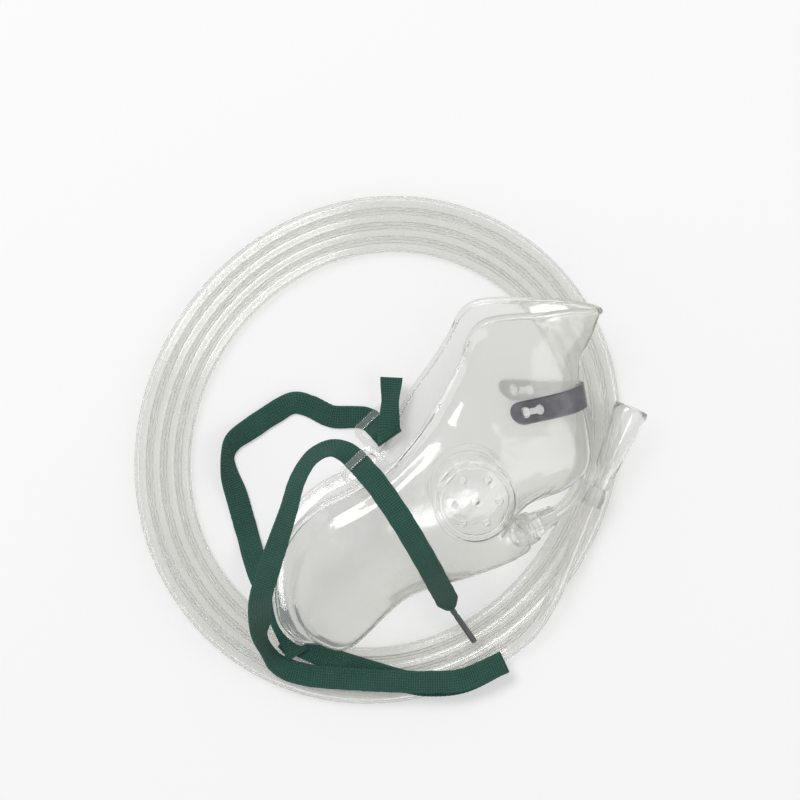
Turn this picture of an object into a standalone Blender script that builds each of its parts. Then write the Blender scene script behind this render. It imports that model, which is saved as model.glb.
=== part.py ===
"""Adult oxygen mask with its head strap, nose clip and tubing, packed as one flat bundle.

The mask lies on its side inside a single-layer coil of clear tubing, with its nose and its chin above the
coil. Units are millimetres until to_frame(), which turns them into metres. Plan positions are measured from
the coil's centre, x to the right and y up as seen from above, and z is the height above the table.
"""

import math

import bmesh
import bpy
import numpy as np
from mathutils import Vector
from mathutils.bvhtree import BVHTree

METRE = 0.001
COIL_CENTRE = (-9.74, 18.63)
GAP = 0.3
MERGE_WITHIN = 1e-7

# Mask: each guide ring lists (x, y, half-width) from the nose side round one cheek to the chin side.
MASK_MIDPLANE = 27.66
MASK_WALL = 1.3
RIM_BEAD_RADIUS = 1.5
RIM = [
    (84, 53.5, 0), (72.5, 55, 7), (58.5, 54.5, 10.8), (45, 54.2, 12.5), (36.5, 52.5, 14), (31.5, 47.5, 16),
    (28.5, 40, 18.5), (22.5, 29, 21), (15, 17.5, 23.5), (7.7, 6.3, 25.7), (0, -4.5, 26.5), (-12, -12.5, 26),
    (-24, -18.5, 25), (-34, -27.5, 23), (-40, -40, 19.5), (-42, -54, 15.5), (-39, -67.5, 10),
    (-31.5, -75.5, 0),
]
BRIDGE_RING = [
    (76, 30.5, 0), (69, 33, 6.5), (59, 35, 10.5), (50, 34.5, 13.5), (43, 30.5, 16.5), (37, 22, 20),
    (28, 9, 24), (15, -6, 27), (1, -18.5, 27.6), (-13, -29, 26.5), (-24, -41, 23.5), (-29, -54, 19),
    (-26, -67, 12.5), (-13.5, -77, 0),
]
CHEEK_RING = [
    (80.5, -2, 0), (76, -0.5, 6), (68, 2.5, 10), (59, 3, 14), (51, -3, 18), (43, -12, 21.5),
    (34, -21, 23.5), (24.5, -30, 23.3), (15.5, -38.5, 21), (9, -47, 16.5), (6.5, -54, 9), (9, -57.5, 0),
]
NOSE_RING = [
    (73, -13.5, 0), (67, -12.5, 7), (60, -14.5, 11), (53, -19, 13.5), (46.5, -26, 15), (40.5, -33, 14.5),
    (36, -40, 11.5), (33.5, -45.5, 7), (33, -49.5, 0),
]
PORT_ROOT_RING = [
    (58, -20, 0), (54.5, -20.5, 5.5), (50.5, -24, 8.5), (47.5, -30, 10), (46, -36, 9.4), (46, -41, 6.2),
    (48, -44, 0),
]
FLANGE_RISE = 0.3
FLANGE_FLARE = 0.95
SKEW = (0.10, -0.30)
SKEW_LOW = 0.4
SKEW_FROM = -10.0
SKEW_OVER = 25.0
HALF_STATIONS = 24
ROWS_PER_RING = 3
NORMAL_SMOOTHING = 3

# Inlet port: a soft collar below the nose, turned towards the coil and dipping to it.
PORT_CENTRE = (51.0, -33.0)
PORT_DROP = 0.5
PORT_HEADING = math.radians(28)
PORT_DIP = math.radians(20)
PORT_ROOT_RADIUS = 8.2
PORT_ROOT_AT = 0.6
COLLAR_RADIUS = 6.65
COLLAR_FROM = 3.0
COLLAR_LENGTH = 6.0

# Vents: a round panel of seven holes on each cheek.
VENT_CENTRE = (34.0, -16.5)
VENT_HOLE_RADIUS = 1.6
VENT_CIRCLE_RADIUS = 9.6
VENT_RISE = 22.0
VENT_PANEL_RADII = (13.3, 15.7)
VENT_RIB_HEIGHT = 0.7
VENT_RIB_STEPS = 36
VENT_CIRCLE_HOLES = 6

# Strap lugs: one tab on each side of the rim, with a slot along the rim.
LUG_OUT = Vector((-0.69, 0.724))
NEAR_LUG_ROOT = (-3.0, -11.7)
FAR_LUG_ROOT = (1.7, 3.9)
NEAR_LUG_HEIGHT = 26.0
FAR_LUG_HEIGHT = -23.6
LUG_WIDTH = 17.0
LUG_REACH = 13.5
LUG_ROOT_DEPTH = 2.5
LUG_THICKNESS = 1.5
LUG_CORNER = 3.5
SLOT_LENGTH = 12.4
SLOT_WIDTH = 4.8
SLOT_FROM_ROOT = 8.0

# Nose clip: an aluminium strip over the nose, with a double keyhole slot in each arm.
CLIP_WIDTH = 9.3
CLIP_THICKNESS = 0.8
CLIP_CLEARANCE = 1.3
CLIP_RISE = 17.0
CLIP_RIDGE_Y = 22.3
CLIP_NEAR_Y = 13.7
CLIP_FAR_Y = 24.0
KEYHOLE_RADII = (2.2, 2.0)
KEYHOLE_SPACING = 6.2
KEYHOLE_NECK = 2.4
KEYHOLE_FROM_END = 5.8
STUD_RADIUS = 1.85
STUD_RISE = 1.1
STUD_ROOT = 2.2

# Head strap: woven elastic, given as legs between folds. Each point is (x, y, z, roll in degrees).
STRAP_WIDTH = 9.0
STRAP_THICKNESS = 0.9
STRAP_STEP = 2.5
STRAP_LEGS = [
    [(2.5, 29, 7.7, 0), (2.0, 20, 7.7, 0), (1.6, 12, 7.7, 0), (1.4, 5.5, 7.7, 0)],
    [
        (1.4, 5.5, 6.2, 0), (-0.3, 6.2, 6.5, 0), (-2.1, 7.9, 6.4, 0), (-3.8, 9.7, 4.0, 0),
        (-5.5, 11.4, 1.7, 0), (-8.4, 12.9, 0.9, 0), (-13, 13.2, 0.8, 0), (-21.5, 13.5, 0.7, 0),
        (-30, 17.5, 1.3, -8), (-37, 18.8, 1.5, -10), (-45, 14.5, 1.3, -8), (-54, 8.5, 1.7, -10),
        (-60.5, 3.6, 3.4, -35), (-62.8, -2.5, 4.4, -58), (-62.0, -10, 3.5, -40), (-59.4, -18, 1.8, -12),
        (-56.6, -28, 0.8, 0), (-54.6, -35, 1.3, 0), (-52.6, -42, 4.2, 0), (-50.3, -48.8, 7.6, 0),
        (-46.8, -56, 9.2, 0), (-43.2, -63.5, 9.7, 0), (-39.4, -71.5, 9.9, 0), (-35.1, -80.2, 9.9, 0),
    ],
    [(-35.1, -80.2, 8.4, 0), (-37.0, -77.7, 8.4, 0), (-39.0, -75.2, 8.4, 0)],
    [
        (-39.0, -75.2, 6.9, 0), (-31.0, -79.0, 6.9, 0), (-18.5, -84, 6.9, 0), (-5, -88.2, 6.9, 0),
        (6, -91.4, 6.9, 0), (17, -93.4, 6.9, 0), (31, -92.0, 6.9, 0), (46.5, -84.5, 6.9, 0),
    ],
    [
        (46.5, -84.5, 8.4, 0), (31, -91.0, 8.7, 8), (17, -92.0, 9.2, 12), (3, -91.6, 9.2, 10),
        (-13, -90.8, 8.8, 4), (-27, -89.8, 8.6, 4), (-33, -88.8, 7.9, 8), (-38.8, -87, 8.7, 20),
        (-44.3, -83.2, 11.2, 52), (-48.2, -75.5, 18, 38), (-48.8, -66, 32, 0), (-48.0, -57, 46.4, -12),
        (-45.0, -46.5, 50.6, -8), (-40.6, -33.5, 52.9, 0), (-36.8, -22, 54.0, 0), (-33.6, -11, 53.4, 0),
        (-28.4, -2.4, 52.0, 0), (-21.5, 1.4, 50.9, 0), (-15, 0.0, 50.2, 0), (-10.2, -4.1, 51.4, 0),
        (-8.5, -5.9, 53.7, 0), (-6.9, -7.7, 55.9, 0), (-3.5, -11.5, 56.5, 0), (1.5, -18.5, 56.4, 0),
        (6.5, -26, 55.9, 0), (11, -33.5, 54.2, 0), (15, -40.5, 50.9, 0), (18, -46, 46.3, 0),
        (20.5, -51, 39.5, 0), (22.8, -55.4, 30, 0), (24.6, -59.2, 20, 0), (26.0, -62.2, 13.5, 0),
    ],
]
TAPER_LENGTH = 7.0
TAPER_WIDTH = 2.4
TAPER_THICKNESS = 2.0
TIP_LENGTH = 17.0
TIP_START = 0.8
TIP_RADIUS = 1.15
TIP_END = (35.8, -76.5, 7.6)

# Inlet connector along the port's axis, as (distance, radius): its outside from the mask to its tip, then
# the socket for the tube and the bore behind it.
INLET_OUTER = [
    (-1.4, 4.3), (-0.8, 4.95), (6.4, 4.95), (6.4, 6.3), (8.0, 6.3), (8.6, 5.2), (12.2, 4.9), (12.6, 4.4),
    (17.4, 4.1), (18.0, 3.8),
]
INLET_INNER = [(18.0, 3.1), (11.0, 3.1), (11.0, 1.9), (-1.4, 1.9)]

# Tubing: one length of clear tube, packed as a single-layer coil with both ends on top of it. Each end is
# seated in its connector's socket.
TUBE_DIAMETER = 5.6
COIL_MIDDLE = 88.2
COIL_WAVES = ((-1.8, 1.7), (-1.5, 3.3))
COIL_WIDTH = 26.2
COIL_HEIGHT = 6.0
COIL_CORNER = 1.6
START_ROUTE = [
    (60.42, -27.99, 23.28), (64.0, -26.09, 21.81), (67.5, -24.25, 20.38), (71.6, -21.2, 18.7),
    (75.4, -16.2, 16.7), (78.1, -10.0, 14.3), (79.6, -3.5, 12.0), (80.2, 3.0, 10.3), (80.0, 9.0, 9.5),
]
END_CONNECTOR_ROOT = (81.4, -22.0, 10.9)
END_ROUTE = [
    (60.5, -67.8, 9.2), (64.6, -61.8, 9.3), (68.4, -54.6, 9.5), (71.8, -46.6, 9.8), (75.0, -38.2, 10.1),
    (78.25, -29.7, 10.4), END_CONNECTOR_ROOT, (82.85, -18.5, 11.14), (84.3, -15.0, 11.39),
]

# End connector along its axis, as (distance, outer radius) and (distance, inner radius). The tube's socket
# is at its root and the mouth for the oxygen outlet at its far end.
END_CONNECTOR_MOUTH = (97.4, 16.6, 13.6)
END_OUTER = [
    (0, 4.0), (0.5, 4.3), (9.5, 4.3), (10.5, 4.7), (11.5, 4.7), (12.5, 4.4), (20, 4.9), (29, 5.8),
    (36.5, 6.5), (39, 6.9), (41.5, 6.9), (42, 6.6),
]
END_INNER = [(42, 5.9), (38.5, 5.6), (29, 4.7), (18, 3.5), (13.5, 1.9), (8.0, 1.9), (8.0, 3.1), (0, 3.1)]

TURNS = 24
TIP_TURNS = 14
COIL_TURNS = 64
TUBE_SMOOTHNESS = 3


def clear_scene():
    for obj in list(bpy.data.objects):
        bpy.data.objects.remove(obj, do_unlink=True)


def to_frame(point):
    """A plan point in millimetres from the coil's centre, as metres in the part's frame."""
    return Vector((point[0] + COIL_CENTRE[0], point[1] + COIL_CENTRE[1], point[2])) * METRE


def material(name, colour, roughness, metallic=0.0, alpha=1.0):
    made = bpy.data.materials.new(name)
    made.use_nodes = True
    shader = made.node_tree.nodes["Principled BSDF"]
    shader.inputs["Base Color"].default_value = (*colour, 1.0)
    shader.inputs["Roughness"].default_value = roughness
    shader.inputs["Metallic"].default_value = metallic
    shader.inputs["Alpha"].default_value = alpha
    made.diffuse_color = (*colour, alpha)
    return made


def mesh_object(name, points, faces, finish, smooth_angle=40.0):
    mesh = bpy.data.meshes.new(name)
    mesh.from_pydata([tuple(to_frame(p)) for p in points], [], faces)
    tidy = bmesh.new()
    tidy.from_mesh(mesh)
    bmesh.ops.remove_doubles(tidy, verts=tidy.verts, dist=MERGE_WITHIN)
    bmesh.ops.recalc_face_normals(tidy, faces=tidy.faces)
    tidy.to_mesh(mesh)
    tidy.free()
    mesh.shade_smooth()
    mesh.set_sharp_from_angle(angle=math.radians(smooth_angle))
    obj = bpy.data.objects.new(name, mesh)
    bpy.context.scene.collection.objects.link(obj)
    mesh.materials.append(finish)
    return obj


def catmull(points, per_span, closed=False):
    """A smooth curve through the points, with per_span samples in each span."""
    points = np.asarray(points, float)
    count = len(points)
    spans = count if closed else count - 1
    if closed:
        padded = np.vstack([points[-1:], points, points[:2]])
    else:
        padded = np.vstack([2 * points[0] - points[1], points, 2 * points[-1] - points[-2]])
    steps = np.arange(per_span) / per_span
    curve = []
    for i in range(spans):
        a, b, c, d = padded[i : i + 4]
        for t in steps:
            bent = (2 * a - 5 * b + 4 * c - d) * t**2 + (3 * b - a - 3 * c + d) * t**3
            curve.append(0.5 * (2 * b + (c - a) * t + bent))
    curve.append(points[0] if closed else points[-1])
    return np.array(curve)


def even(curve, count):
    """The curve as count equal steps along its length."""
    lengths = np.r_[0, np.cumsum(np.linalg.norm(np.diff(curve, axis=0), axis=1))]
    at = np.linspace(0, lengths[-1], count + 1)
    return np.stack([np.interp(at, lengths, curve[:, k]) for k in range(curve.shape[1])], axis=1)


def tube(name, route, finish):
    """A plain round tube along the route, closed at both ends."""
    length = np.linalg.norm(np.diff(np.asarray(route, float), axis=0), axis=1).sum()
    line = even(catmull(route, 12), max(4, round(length / (2 * TUBE_DIAMETER)) * 2))
    curve = bpy.data.curves.new(name, "CURVE")
    curve.dimensions = "3D"
    curve.bevel_depth = TUBE_DIAMETER / 2 * METRE
    curve.bevel_resolution = TUBE_SMOOTHNESS
    curve.use_fill_caps = True
    spline = curve.splines.new("POLY")
    spline.points.add(len(line) - 1)
    for place, point in zip(line, spline.points, strict=True):
        point.co = (*to_frame(place), 1.0)
    curve.materials.append(finish)
    obj = bpy.data.objects.new(name, curve)
    bpy.context.scene.collection.objects.link(obj)
    return obj


def turned(name, profile, origin, axis, finish, count=TURNS):
    """A closed profile of (distance, radius) points turned about the axis through the origin."""
    axis = Vector(axis).normalized()
    side = axis.cross(Vector((0, 0, 1)))
    side = side.normalized() if side.length > 0.1 else Vector((1, 0, 0))
    other = axis.cross(side)
    points, faces = [], []
    for k in range(count):
        angle = 2 * math.pi * k / count
        out = side * math.cos(angle) + other * math.sin(angle)
        points += [Vector(origin) + axis * d + out * r for d, r in profile]
    n = len(profile)
    for k in range(count):
        here, there = k * n, (k + 1) % count * n
        sides = [i for i in range(n) if profile[i][1] + profile[(i + 1) % n][1] > 0]
        faces += [(here + i, here + (i + 1) % n, there + (i + 1) % n, there + i) for i in sides]
    return mesh_object(name, points, faces, finish)


def skewed(x, y, rise):
    """A point of the mask, rise above its midplane, moved as the packed mask leans."""
    lean = SKEW_LOW + (1 - SKEW_LOW) * min(max((y - SKEW_FROM) / SKEW_OVER, 0), 1)
    return np.array([x + SKEW[0] * lean * rise, y + SKEW[1] * lean * rise, MASK_MIDPLANE + rise])


def guide_ring(control):
    """The closed ring through the control points and their mirror images, as (x, y, rise) stations."""
    near = [np.array(p, float) for p in control]
    far = [p * (1, 1, -1) for p in near[-2:0:-1]]
    per_span = 10
    curve = catmull(near + far, per_span, closed=True)
    half = even(curve[: (len(near) - 1) * per_span + 1], HALF_STATIONS)
    return np.vstack([half, (half * (1, 1, -1))[-2:0:-1]])


def port_frame():
    """The port's centre, its axis, the direction towards the nose and the one across both."""
    level = math.cos(PORT_DIP)
    axis = Vector((math.cos(PORT_HEADING) * level, math.sin(PORT_HEADING) * level, -math.sin(PORT_DIP)))
    towards_nose = Vector((-math.sin(PORT_HEADING), math.cos(PORT_HEADING), 0))
    return Vector((*PORT_CENTRE, MASK_MIDPLANE - PORT_DROP)), axis, towards_nose, axis.cross(towards_nose)


def port_ring(along, radius):
    centre, axis, nose, up = port_frame()
    middle = centre + axis * along
    angles = [math.pi * j / HALF_STATIONS for j in range(2 * HALF_STATIONS)]
    return np.array([tuple(middle + (nose * math.cos(a) + up * math.sin(a)) * radius) for a in angles])


def mask_surface():
    """The outer surface of the shell, as rows of stations from the rim to the port's collar."""
    rim, bridge = guide_ring(RIM), guide_ring(BRIDGE_RING)
    flange = rim + (bridge - rim) * FLANGE_RISE
    flange[:, 2] *= FLANGE_FLARE
    shaped = [rim, flange, bridge]
    shaped += [guide_ring(control) for control in (CHEEK_RING, NOSE_RING, PORT_ROOT_RING)]
    rings = [np.array([skewed(*p) for p in ring]) for ring in shaped]
    rings.append(port_ring(PORT_ROOT_AT, PORT_ROOT_RADIUS))
    rings.append(port_ring(COLLAR_FROM, COLLAR_RADIUS))
    rings.append(port_ring(COLLAR_LENGTH, COLLAR_RADIUS))
    stations = [catmull([ring[j] for ring in rings], ROWS_PER_RING) for j in range(2 * HALF_STATIONS)]
    return np.stack(stations, axis=1)


def surface_normals(surface):
    along = np.gradient(surface, axis=0)
    around = np.roll(surface, -1, axis=1) - np.roll(surface, 1, axis=1)
    normals = np.cross(around, along)
    for _ in range(NORMAL_SMOOTHING):
        normals /= np.linalg.norm(normals, axis=2, keepdims=True)
        normals[1:-1] = normals[:-2] + 2 * normals[1:-1] + normals[2:]
    normals /= np.linalg.norm(normals, axis=2, keepdims=True)
    row, station = len(surface) // 3, HALF_STATIONS // 2
    outward = normals[row, station] @ (surface[row, station] - surface.mean(axis=(0, 1)))
    return normals * math.copysign(1, outward)


def mask_shell(finish):
    """The moulded shell: outer wall, rolled rim, inner wall and the collar's lip, as one closed skin."""
    surface = mask_surface()
    normals = surface_normals(surface)
    stations = surface.shape[1]
    sections = []
    for j in range(stations):
        outer, out = surface[:, j], normals[:, j]
        inner = outer - out * MASK_WALL
        back = outer[0] - outer[1]
        back /= np.linalg.norm(back)
        centre = (outer[0] + inner[0]) / 2 + back * RIM_BEAD_RADIUS * 0.8
        bead = [
            centre + RIM_BEAD_RADIUS * (out[0] * math.cos(a) + back * math.sin(a))
            for a in np.radians(np.linspace(-45, 225, 8))
        ]
        sections.append([*outer[::-1], *bead, *inner])
    n = len(sections[0])
    points = [p for section in sections for p in section]
    faces = []
    for j in range(stations):
        here, there = j * n, (j + 1) % stations * n
        faces += [(here + i, here + (i + 1) % n, there + (i + 1) % n, there + i) for i in range(n)]
    return mesh_object("mask_body", points, faces, finish)


def outer_tree(surface):
    """The outer surface as a search tree in millimetres, for seating pieces on it."""
    rows, stations = surface.shape[:2]
    points = [Vector(p) for p in surface.reshape(-1, 3)]
    faces = []
    for i in range(rows - 1):
        here, there = i * stations, (i + 1) * stations
        for j in range(stations):
            after = (j + 1) % stations
            faces.append((here + j, there + j, there + after, here + after))
    return BVHTree.FromPolygons(points, faces)


def cutter(name, points, faces):
    """A helper solid for a Boolean, kept out of the model."""
    obj = mesh_object(name, points, faces, bpy.data.materials["clear_pvc"])
    obj.hide_render = True
    obj.display_type = "WIRE"
    return obj


def combine(target, other, operation):
    modifier = target.modifiers.new(f"{operation.lower()}_{other.name}", "BOOLEAN")
    modifier.operation = operation
    modifier.solver = "EXACT"
    modifier.object = other


def prism(name, outline, base, normal, along, depth):
    """A prism with the outline in the plane across the normal, running depth either way from the base."""
    normal = Vector(normal).normalized()
    x_axis = (Vector(along) - normal * normal.dot(Vector(along))).normalized()
    y_axis = normal.cross(x_axis)
    n = len(outline)
    points = [Vector(base) + x_axis * u + y_axis * v + normal * h for h in depth for u, v in outline]
    faces = [tuple(range(n))[::-1], tuple(range(n, 2 * n))]
    faces += [(i, (i + 1) % n, n + (i + 1) % n, n + i) for i in range(n)]
    return cutter(name, points, faces)


def circle(radius, count, centre=(0.0, 0.0)):
    angles = [2 * math.pi * k / count for k in range(count)]
    return [(centre[0] + radius * math.cos(a), centre[1] + radius * math.sin(a)) for a in angles]


def rounded_box(width, low, high, corner, steps=5):
    """A rectangle from low to high along x and width across it, rounded at its high end."""
    half = width / 2
    outline = [(low, half), (low, -half)]
    for sign, start in ((-1, -90), (1, 0)):
        for k in range(steps + 1):
            a = math.radians(start + 90 * k / steps)
            aside = sign * (half - corner)
            outline.append((high - corner + corner * math.cos(a), aside + corner * math.sin(a)))
    return outline


def slot_outline(length, width, centre, steps=6):
    """A slot with round ends, its length across x."""
    outline = []
    for sign, start in ((1, 0), (-1, 180)):
        for k in range(steps + 1):
            a = math.radians(start + 180 * k / steps)
            aside = sign * (length - width) / 2
            outline.append((centre + width / 2 * math.cos(a), aside + width / 2 * math.sin(a)))
    return outline


def add_lugs(body):
    """The two slotted tabs. Each grows out of the rim's bead in one moulding."""
    out = Vector((*LUG_OUT.normalized(), 0))
    lugs = (("near", NEAR_LUG_ROOT, NEAR_LUG_HEIGHT), ("far", FAR_LUG_ROOT, FAR_LUG_HEIGHT))
    for side, root, rise in lugs:
        base = (*root, MASK_MIDPLANE + rise)
        half = LUG_THICKNESS / 2
        tab_outline = rounded_box(LUG_WIDTH, -LUG_ROOT_DEPTH, LUG_REACH, LUG_CORNER)
        hole_outline = slot_outline(SLOT_LENGTH, SLOT_WIDTH, SLOT_FROM_ROOT)
        tab = prism(f"{side}_lug_tab", tab_outline, base, (0, 0, 1), out, (-half, half))
        slot = prism(f"{side}_lug_slot", hole_outline, base, (0, 0, 1), out, (-half - 1, half + 1))
        combine(tab, slot, "DIFFERENCE")
        combine(body, tab, "UNION")


def add_vents(body, tree):
    """Seven holes through each cheek: one in the middle and a circle round it."""
    spots = [(0.0, 0.0)] + circle(VENT_CIRCLE_RADIUS, VENT_CIRCLE_HOLES)
    outline = circle(VENT_HOLE_RADIUS, 12)
    for side in ("near", "far"):
        for radius in VENT_PANEL_RADII:
            vent_rib(body, tree, side, radius, VENT_RIB_HEIGHT)
        for k, (u, v) in enumerate(spots):
            place, normal = on_cheek(tree, side, u, v)
            hole = prism(f"{side}_vent_{k}", outline, place, normal, (1, 0, 0), (-4.0, 4.0))
            combine(body, hole, "DIFFERENCE")


def on_cheek(tree, side, u, v):
    """The place and outward normal on one cheek, u and v from the middle of its vent."""
    up = 1 if side == "near" else -1
    centre = skewed(*VENT_CENTRE, up * VENT_RISE)
    start = Vector((centre[0] + u, centre[1] + v, MASK_MIDPLANE + up * 60))
    place, normal, _, _ = tree.ray_cast(start, Vector((0, 0, -up)))
    return place, normal if normal.z * up > 0 else -normal


def vent_rib(body, tree, side, radius, height):
    """A low round rib on the cheek: a ring of diamond section, half sunk in the wall."""
    spots = circle(radius, VENT_RIB_STEPS)
    sections = []
    for u, v in spots:
        place, normal = on_cheek(tree, side, u, v)
        aside = Vector((u, v, 0)).normalized()
        aside = (aside - normal * aside.dot(normal)).normalized()
        sections.append([place + way * height for way in (normal, aside, -normal, -aside)])
    points = [p for section in sections for p in section]
    n = len(spots)
    faces = [
        (4 * i + k, 4 * i + (k + 1) % 4, (i + 1) % n * 4 + (k + 1) % 4, (i + 1) % n * 4 + k)
        for i in range(n)
        for k in range(4)
    ]
    combine(body, cutter(f"{side}_vent_rib_{radius:.0f}", points, faces), "UNION")


def clip_rungs(tree):
    """The clip's two edges over the nose, seated on the shell, as pairs of points from near to far."""
    rungs = []
    for t in np.linspace(1, -1, 33):
        rise = CLIP_RISE * math.sin(t * math.pi / 2)
        aside = CLIP_NEAR_Y if t > 0 else CLIP_FAR_Y
        middle = CLIP_RIDGE_Y + (aside - CLIP_RIDGE_Y) * abs(rise) / CLIP_RISE
        pair = []
        for edge in (-0.5, 0.5):
            start = Vector((140.0, middle + edge * CLIP_WIDTH, MASK_MIDPLANE + rise))
            place, normal, _, _ = tree.ray_cast(start, Vector((-1, 0, 0)))
            normal = normal if normal.x > 0 else -normal
            pair.append(np.array(place + normal * CLIP_CLEARANCE))
        rungs.append(pair)
    rungs = np.array(rungs)
    for _ in range(3):
        rungs[1:-1] = (rungs[:-2] + 2 * rungs[1:-1] + rungs[2:]) / 4
        for pair in rungs:
            for k, point in enumerate(pair):
                place, normal, _, _ = tree.find_nearest(Vector(point))
                normal = normal if normal.x > 0 else -normal
                short = CLIP_CLEARANCE - (Vector(point) - place).dot(normal)
                pair[k] = point + np.array(normal) * max(short, 0)
    return rungs


def clip_frames(tree):
    """The clip's centre line, width direction and outward normal, at even steps along it."""
    rungs = clip_rungs(tree)
    line = even(np.hstack([rungs[:, 0], rungs[:, 1]]), 48)
    low, high = line[:, :3], line[:, 3:]
    middle = (low + high) / 2
    across = high - low
    across /= np.linalg.norm(across, axis=1, keepdims=True)
    along = np.gradient(middle, axis=0)
    along /= np.linalg.norm(along, axis=1, keepdims=True)
    normal = np.cross(across, along)
    normal /= np.linalg.norm(normal, axis=1, keepdims=True)
    if normal[len(normal) // 2, 0] < 0:
        normal = -normal
    return middle, across, along, normal


def strip_solid(name, middle, across, normal, half_widths, half_thickness, finish):
    """A solid strip along the centre line, with a rectangular section at each step."""
    points, faces = [], []
    for p, a, n, w, t in zip(middle, across, normal, half_widths, half_thickness, strict=True):
        points += [p + a * w + n * t, p - a * w + n * t, p - a * w - n * t, p + a * w - n * t]
    for i in range(len(middle) - 1):
        here, there = 4 * i, 4 * i + 4
        faces += [(here + k, here + (k + 1) % 4, there + (k + 1) % 4, there + k) for k in range(4)]
    last = 4 * (len(middle) - 1)
    faces += [(0, 1, 2, 3), (last + 3, last + 2, last + 1, last)]
    return mesh_object(name, points, faces, finish)


def keyhole_outline():
    """Two round lobes joined by a narrower neck, the larger lobe at the origin."""
    large, small = KEYHOLE_RADII
    half = KEYHOLE_NECK / 2
    turn_large = math.asin(half / large)
    turn_small = math.asin(half / small)
    outline = []
    for a in np.linspace(turn_large, 2 * math.pi - turn_large, 13):
        outline.append((large * math.cos(a), large * math.sin(a)))
    for a in np.linspace(-math.pi + turn_small, math.pi - turn_small, 13):
        outline.append((KEYHOLE_SPACING + small * math.cos(a), small * math.sin(a)))
    return outline


def nose_clip(tree, body, finish):
    """The bent strip, its round ends and slots, and the mask's studs that stand in them."""
    middle, across, along, normal = clip_frames(tree)
    steps = np.linalg.norm(np.diff(middle, axis=0), axis=1)
    travelled = np.r_[0, np.cumsum(steps)]
    length = travelled[-1]
    half = CLIP_WIDTH / 2
    from_end = np.minimum(travelled, length - travelled)
    widths = half * np.sqrt(np.clip(1 - ((half - np.minimum(from_end, half)) / half) ** 2, 0.06, 1))
    thick = np.full(len(middle), CLIP_THICKNESS / 2)
    clip = strip_solid("nose_clip", middle, across, normal, widths, thick, finish)
    stud_depth = (-STUD_ROOT, CLIP_THICKNESS / 2 + STUD_RISE)
    for side, way in (("near", 1), ("far", -1)):
        at = KEYHOLE_FROM_END if way > 0 else length - KEYHOLE_FROM_END
        k = int(np.abs(travelled - at).argmin())
        slot = prism(f"{side}_keyhole", keyhole_outline(), middle[k], normal[k], along[k] * way, (-2.0, 2.0))
        combine(clip, slot, "DIFFERENCE")
        stud = prism(f"{side}_stud", circle(STUD_RADIUS, 14), middle[k], normal[k], along[k], stud_depth)
        combine(body, stud, "UNION")


def leg_frames(leg, flip):
    """Even steps along one leg of the strap, each [left edge, right edge, normal, heading]."""
    curve = catmull(leg, 12)
    length = np.linalg.norm(np.diff(curve[:, :3], axis=0), axis=1).sum()
    samples = even(curve, max(4, round(length / STRAP_STEP)))
    middle, roll = samples[:, :3], np.radians(samples[:, 3:])
    along = np.gradient(middle, axis=0)
    along /= np.linalg.norm(along, axis=1, keepdims=True)
    level = np.stack([-along[:, 1], along[:, 0], np.zeros(len(along))], axis=1)
    level /= np.linalg.norm(level, axis=1, keepdims=True)
    upright = np.cross(along, level)
    left = level * np.cos(roll) + upright * np.sin(roll)
    normal = upright * np.cos(roll) - level * np.sin(roll)
    return [
        [p + flip * a * STRAP_WIDTH / 2, p - flip * a * STRAP_WIDTH / 2, flip * n, t]
        for p, a, n, t in zip(middle, left, normal, along, strict=True)
    ]


def trimmed(frames, crease_left, crease_right, at_end):
    """The leg's frames with those next to a fold fanned round to the crease."""
    crease = (crease_left + crease_right) / 2
    ordered = frames if at_end else frames[::-1]
    reach = abs((crease_left - crease_right) @ ordered[-1][3]) / 2 + 0.8
    kept = [f for f in ordered if np.linalg.norm((f[0] + f[1])[:2] / 2 - crease[:2]) > reach]
    last = kept[-1]
    fan_steps = (0.35, 0.7) if reach > 3 else ()
    for t in fan_steps:
        left, right = last[0] + (crease_left - last[0]) * t, last[1] + (crease_right - last[1]) * t
        kept.append([left, right, last[2], last[3]])
    return kept if at_end else kept[::-1]


def fold_frames(before, after, flip):
    """The crease between two legs: the frames round its small bend."""
    arrive, leave = before[-1][3] * (1, 1, 0), after[0][3] * (1, 1, 0)
    arrive /= np.linalg.norm(arrive)
    leave /= np.linalg.norm(leave)
    left = np.array([-arrive[1], arrive[0], 0])
    crease = arrive + leave
    crease = left if np.linalg.norm(crease) < 0.05 else crease / np.linalg.norm(crease)
    crease = crease if crease @ left * flip > 0 else -crease
    half = STRAP_WIDTH / 2 / abs(crease @ left)
    outward = arrive - crease * (arrive @ crease)
    outward /= np.linalg.norm(outward)
    start = (before[-1][0] + before[-1][1]) / 2
    rise = (after[0][0] + after[0][1])[2] / 2 - start[2]
    up = np.array([0, 0, 1.0])
    frames = []
    for angle in np.linspace(0, math.pi, 6):
        centre = start + outward * abs(rise) / 2 * math.sin(angle) + up * rise / 2 * (1 - math.cos(angle))
        normal = flip * (up * math.cos(angle) - math.copysign(1, rise) * outward * math.sin(angle))
        frames.append([centre + crease * half, centre - crease * half, normal, arrive])
    return frames


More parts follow.
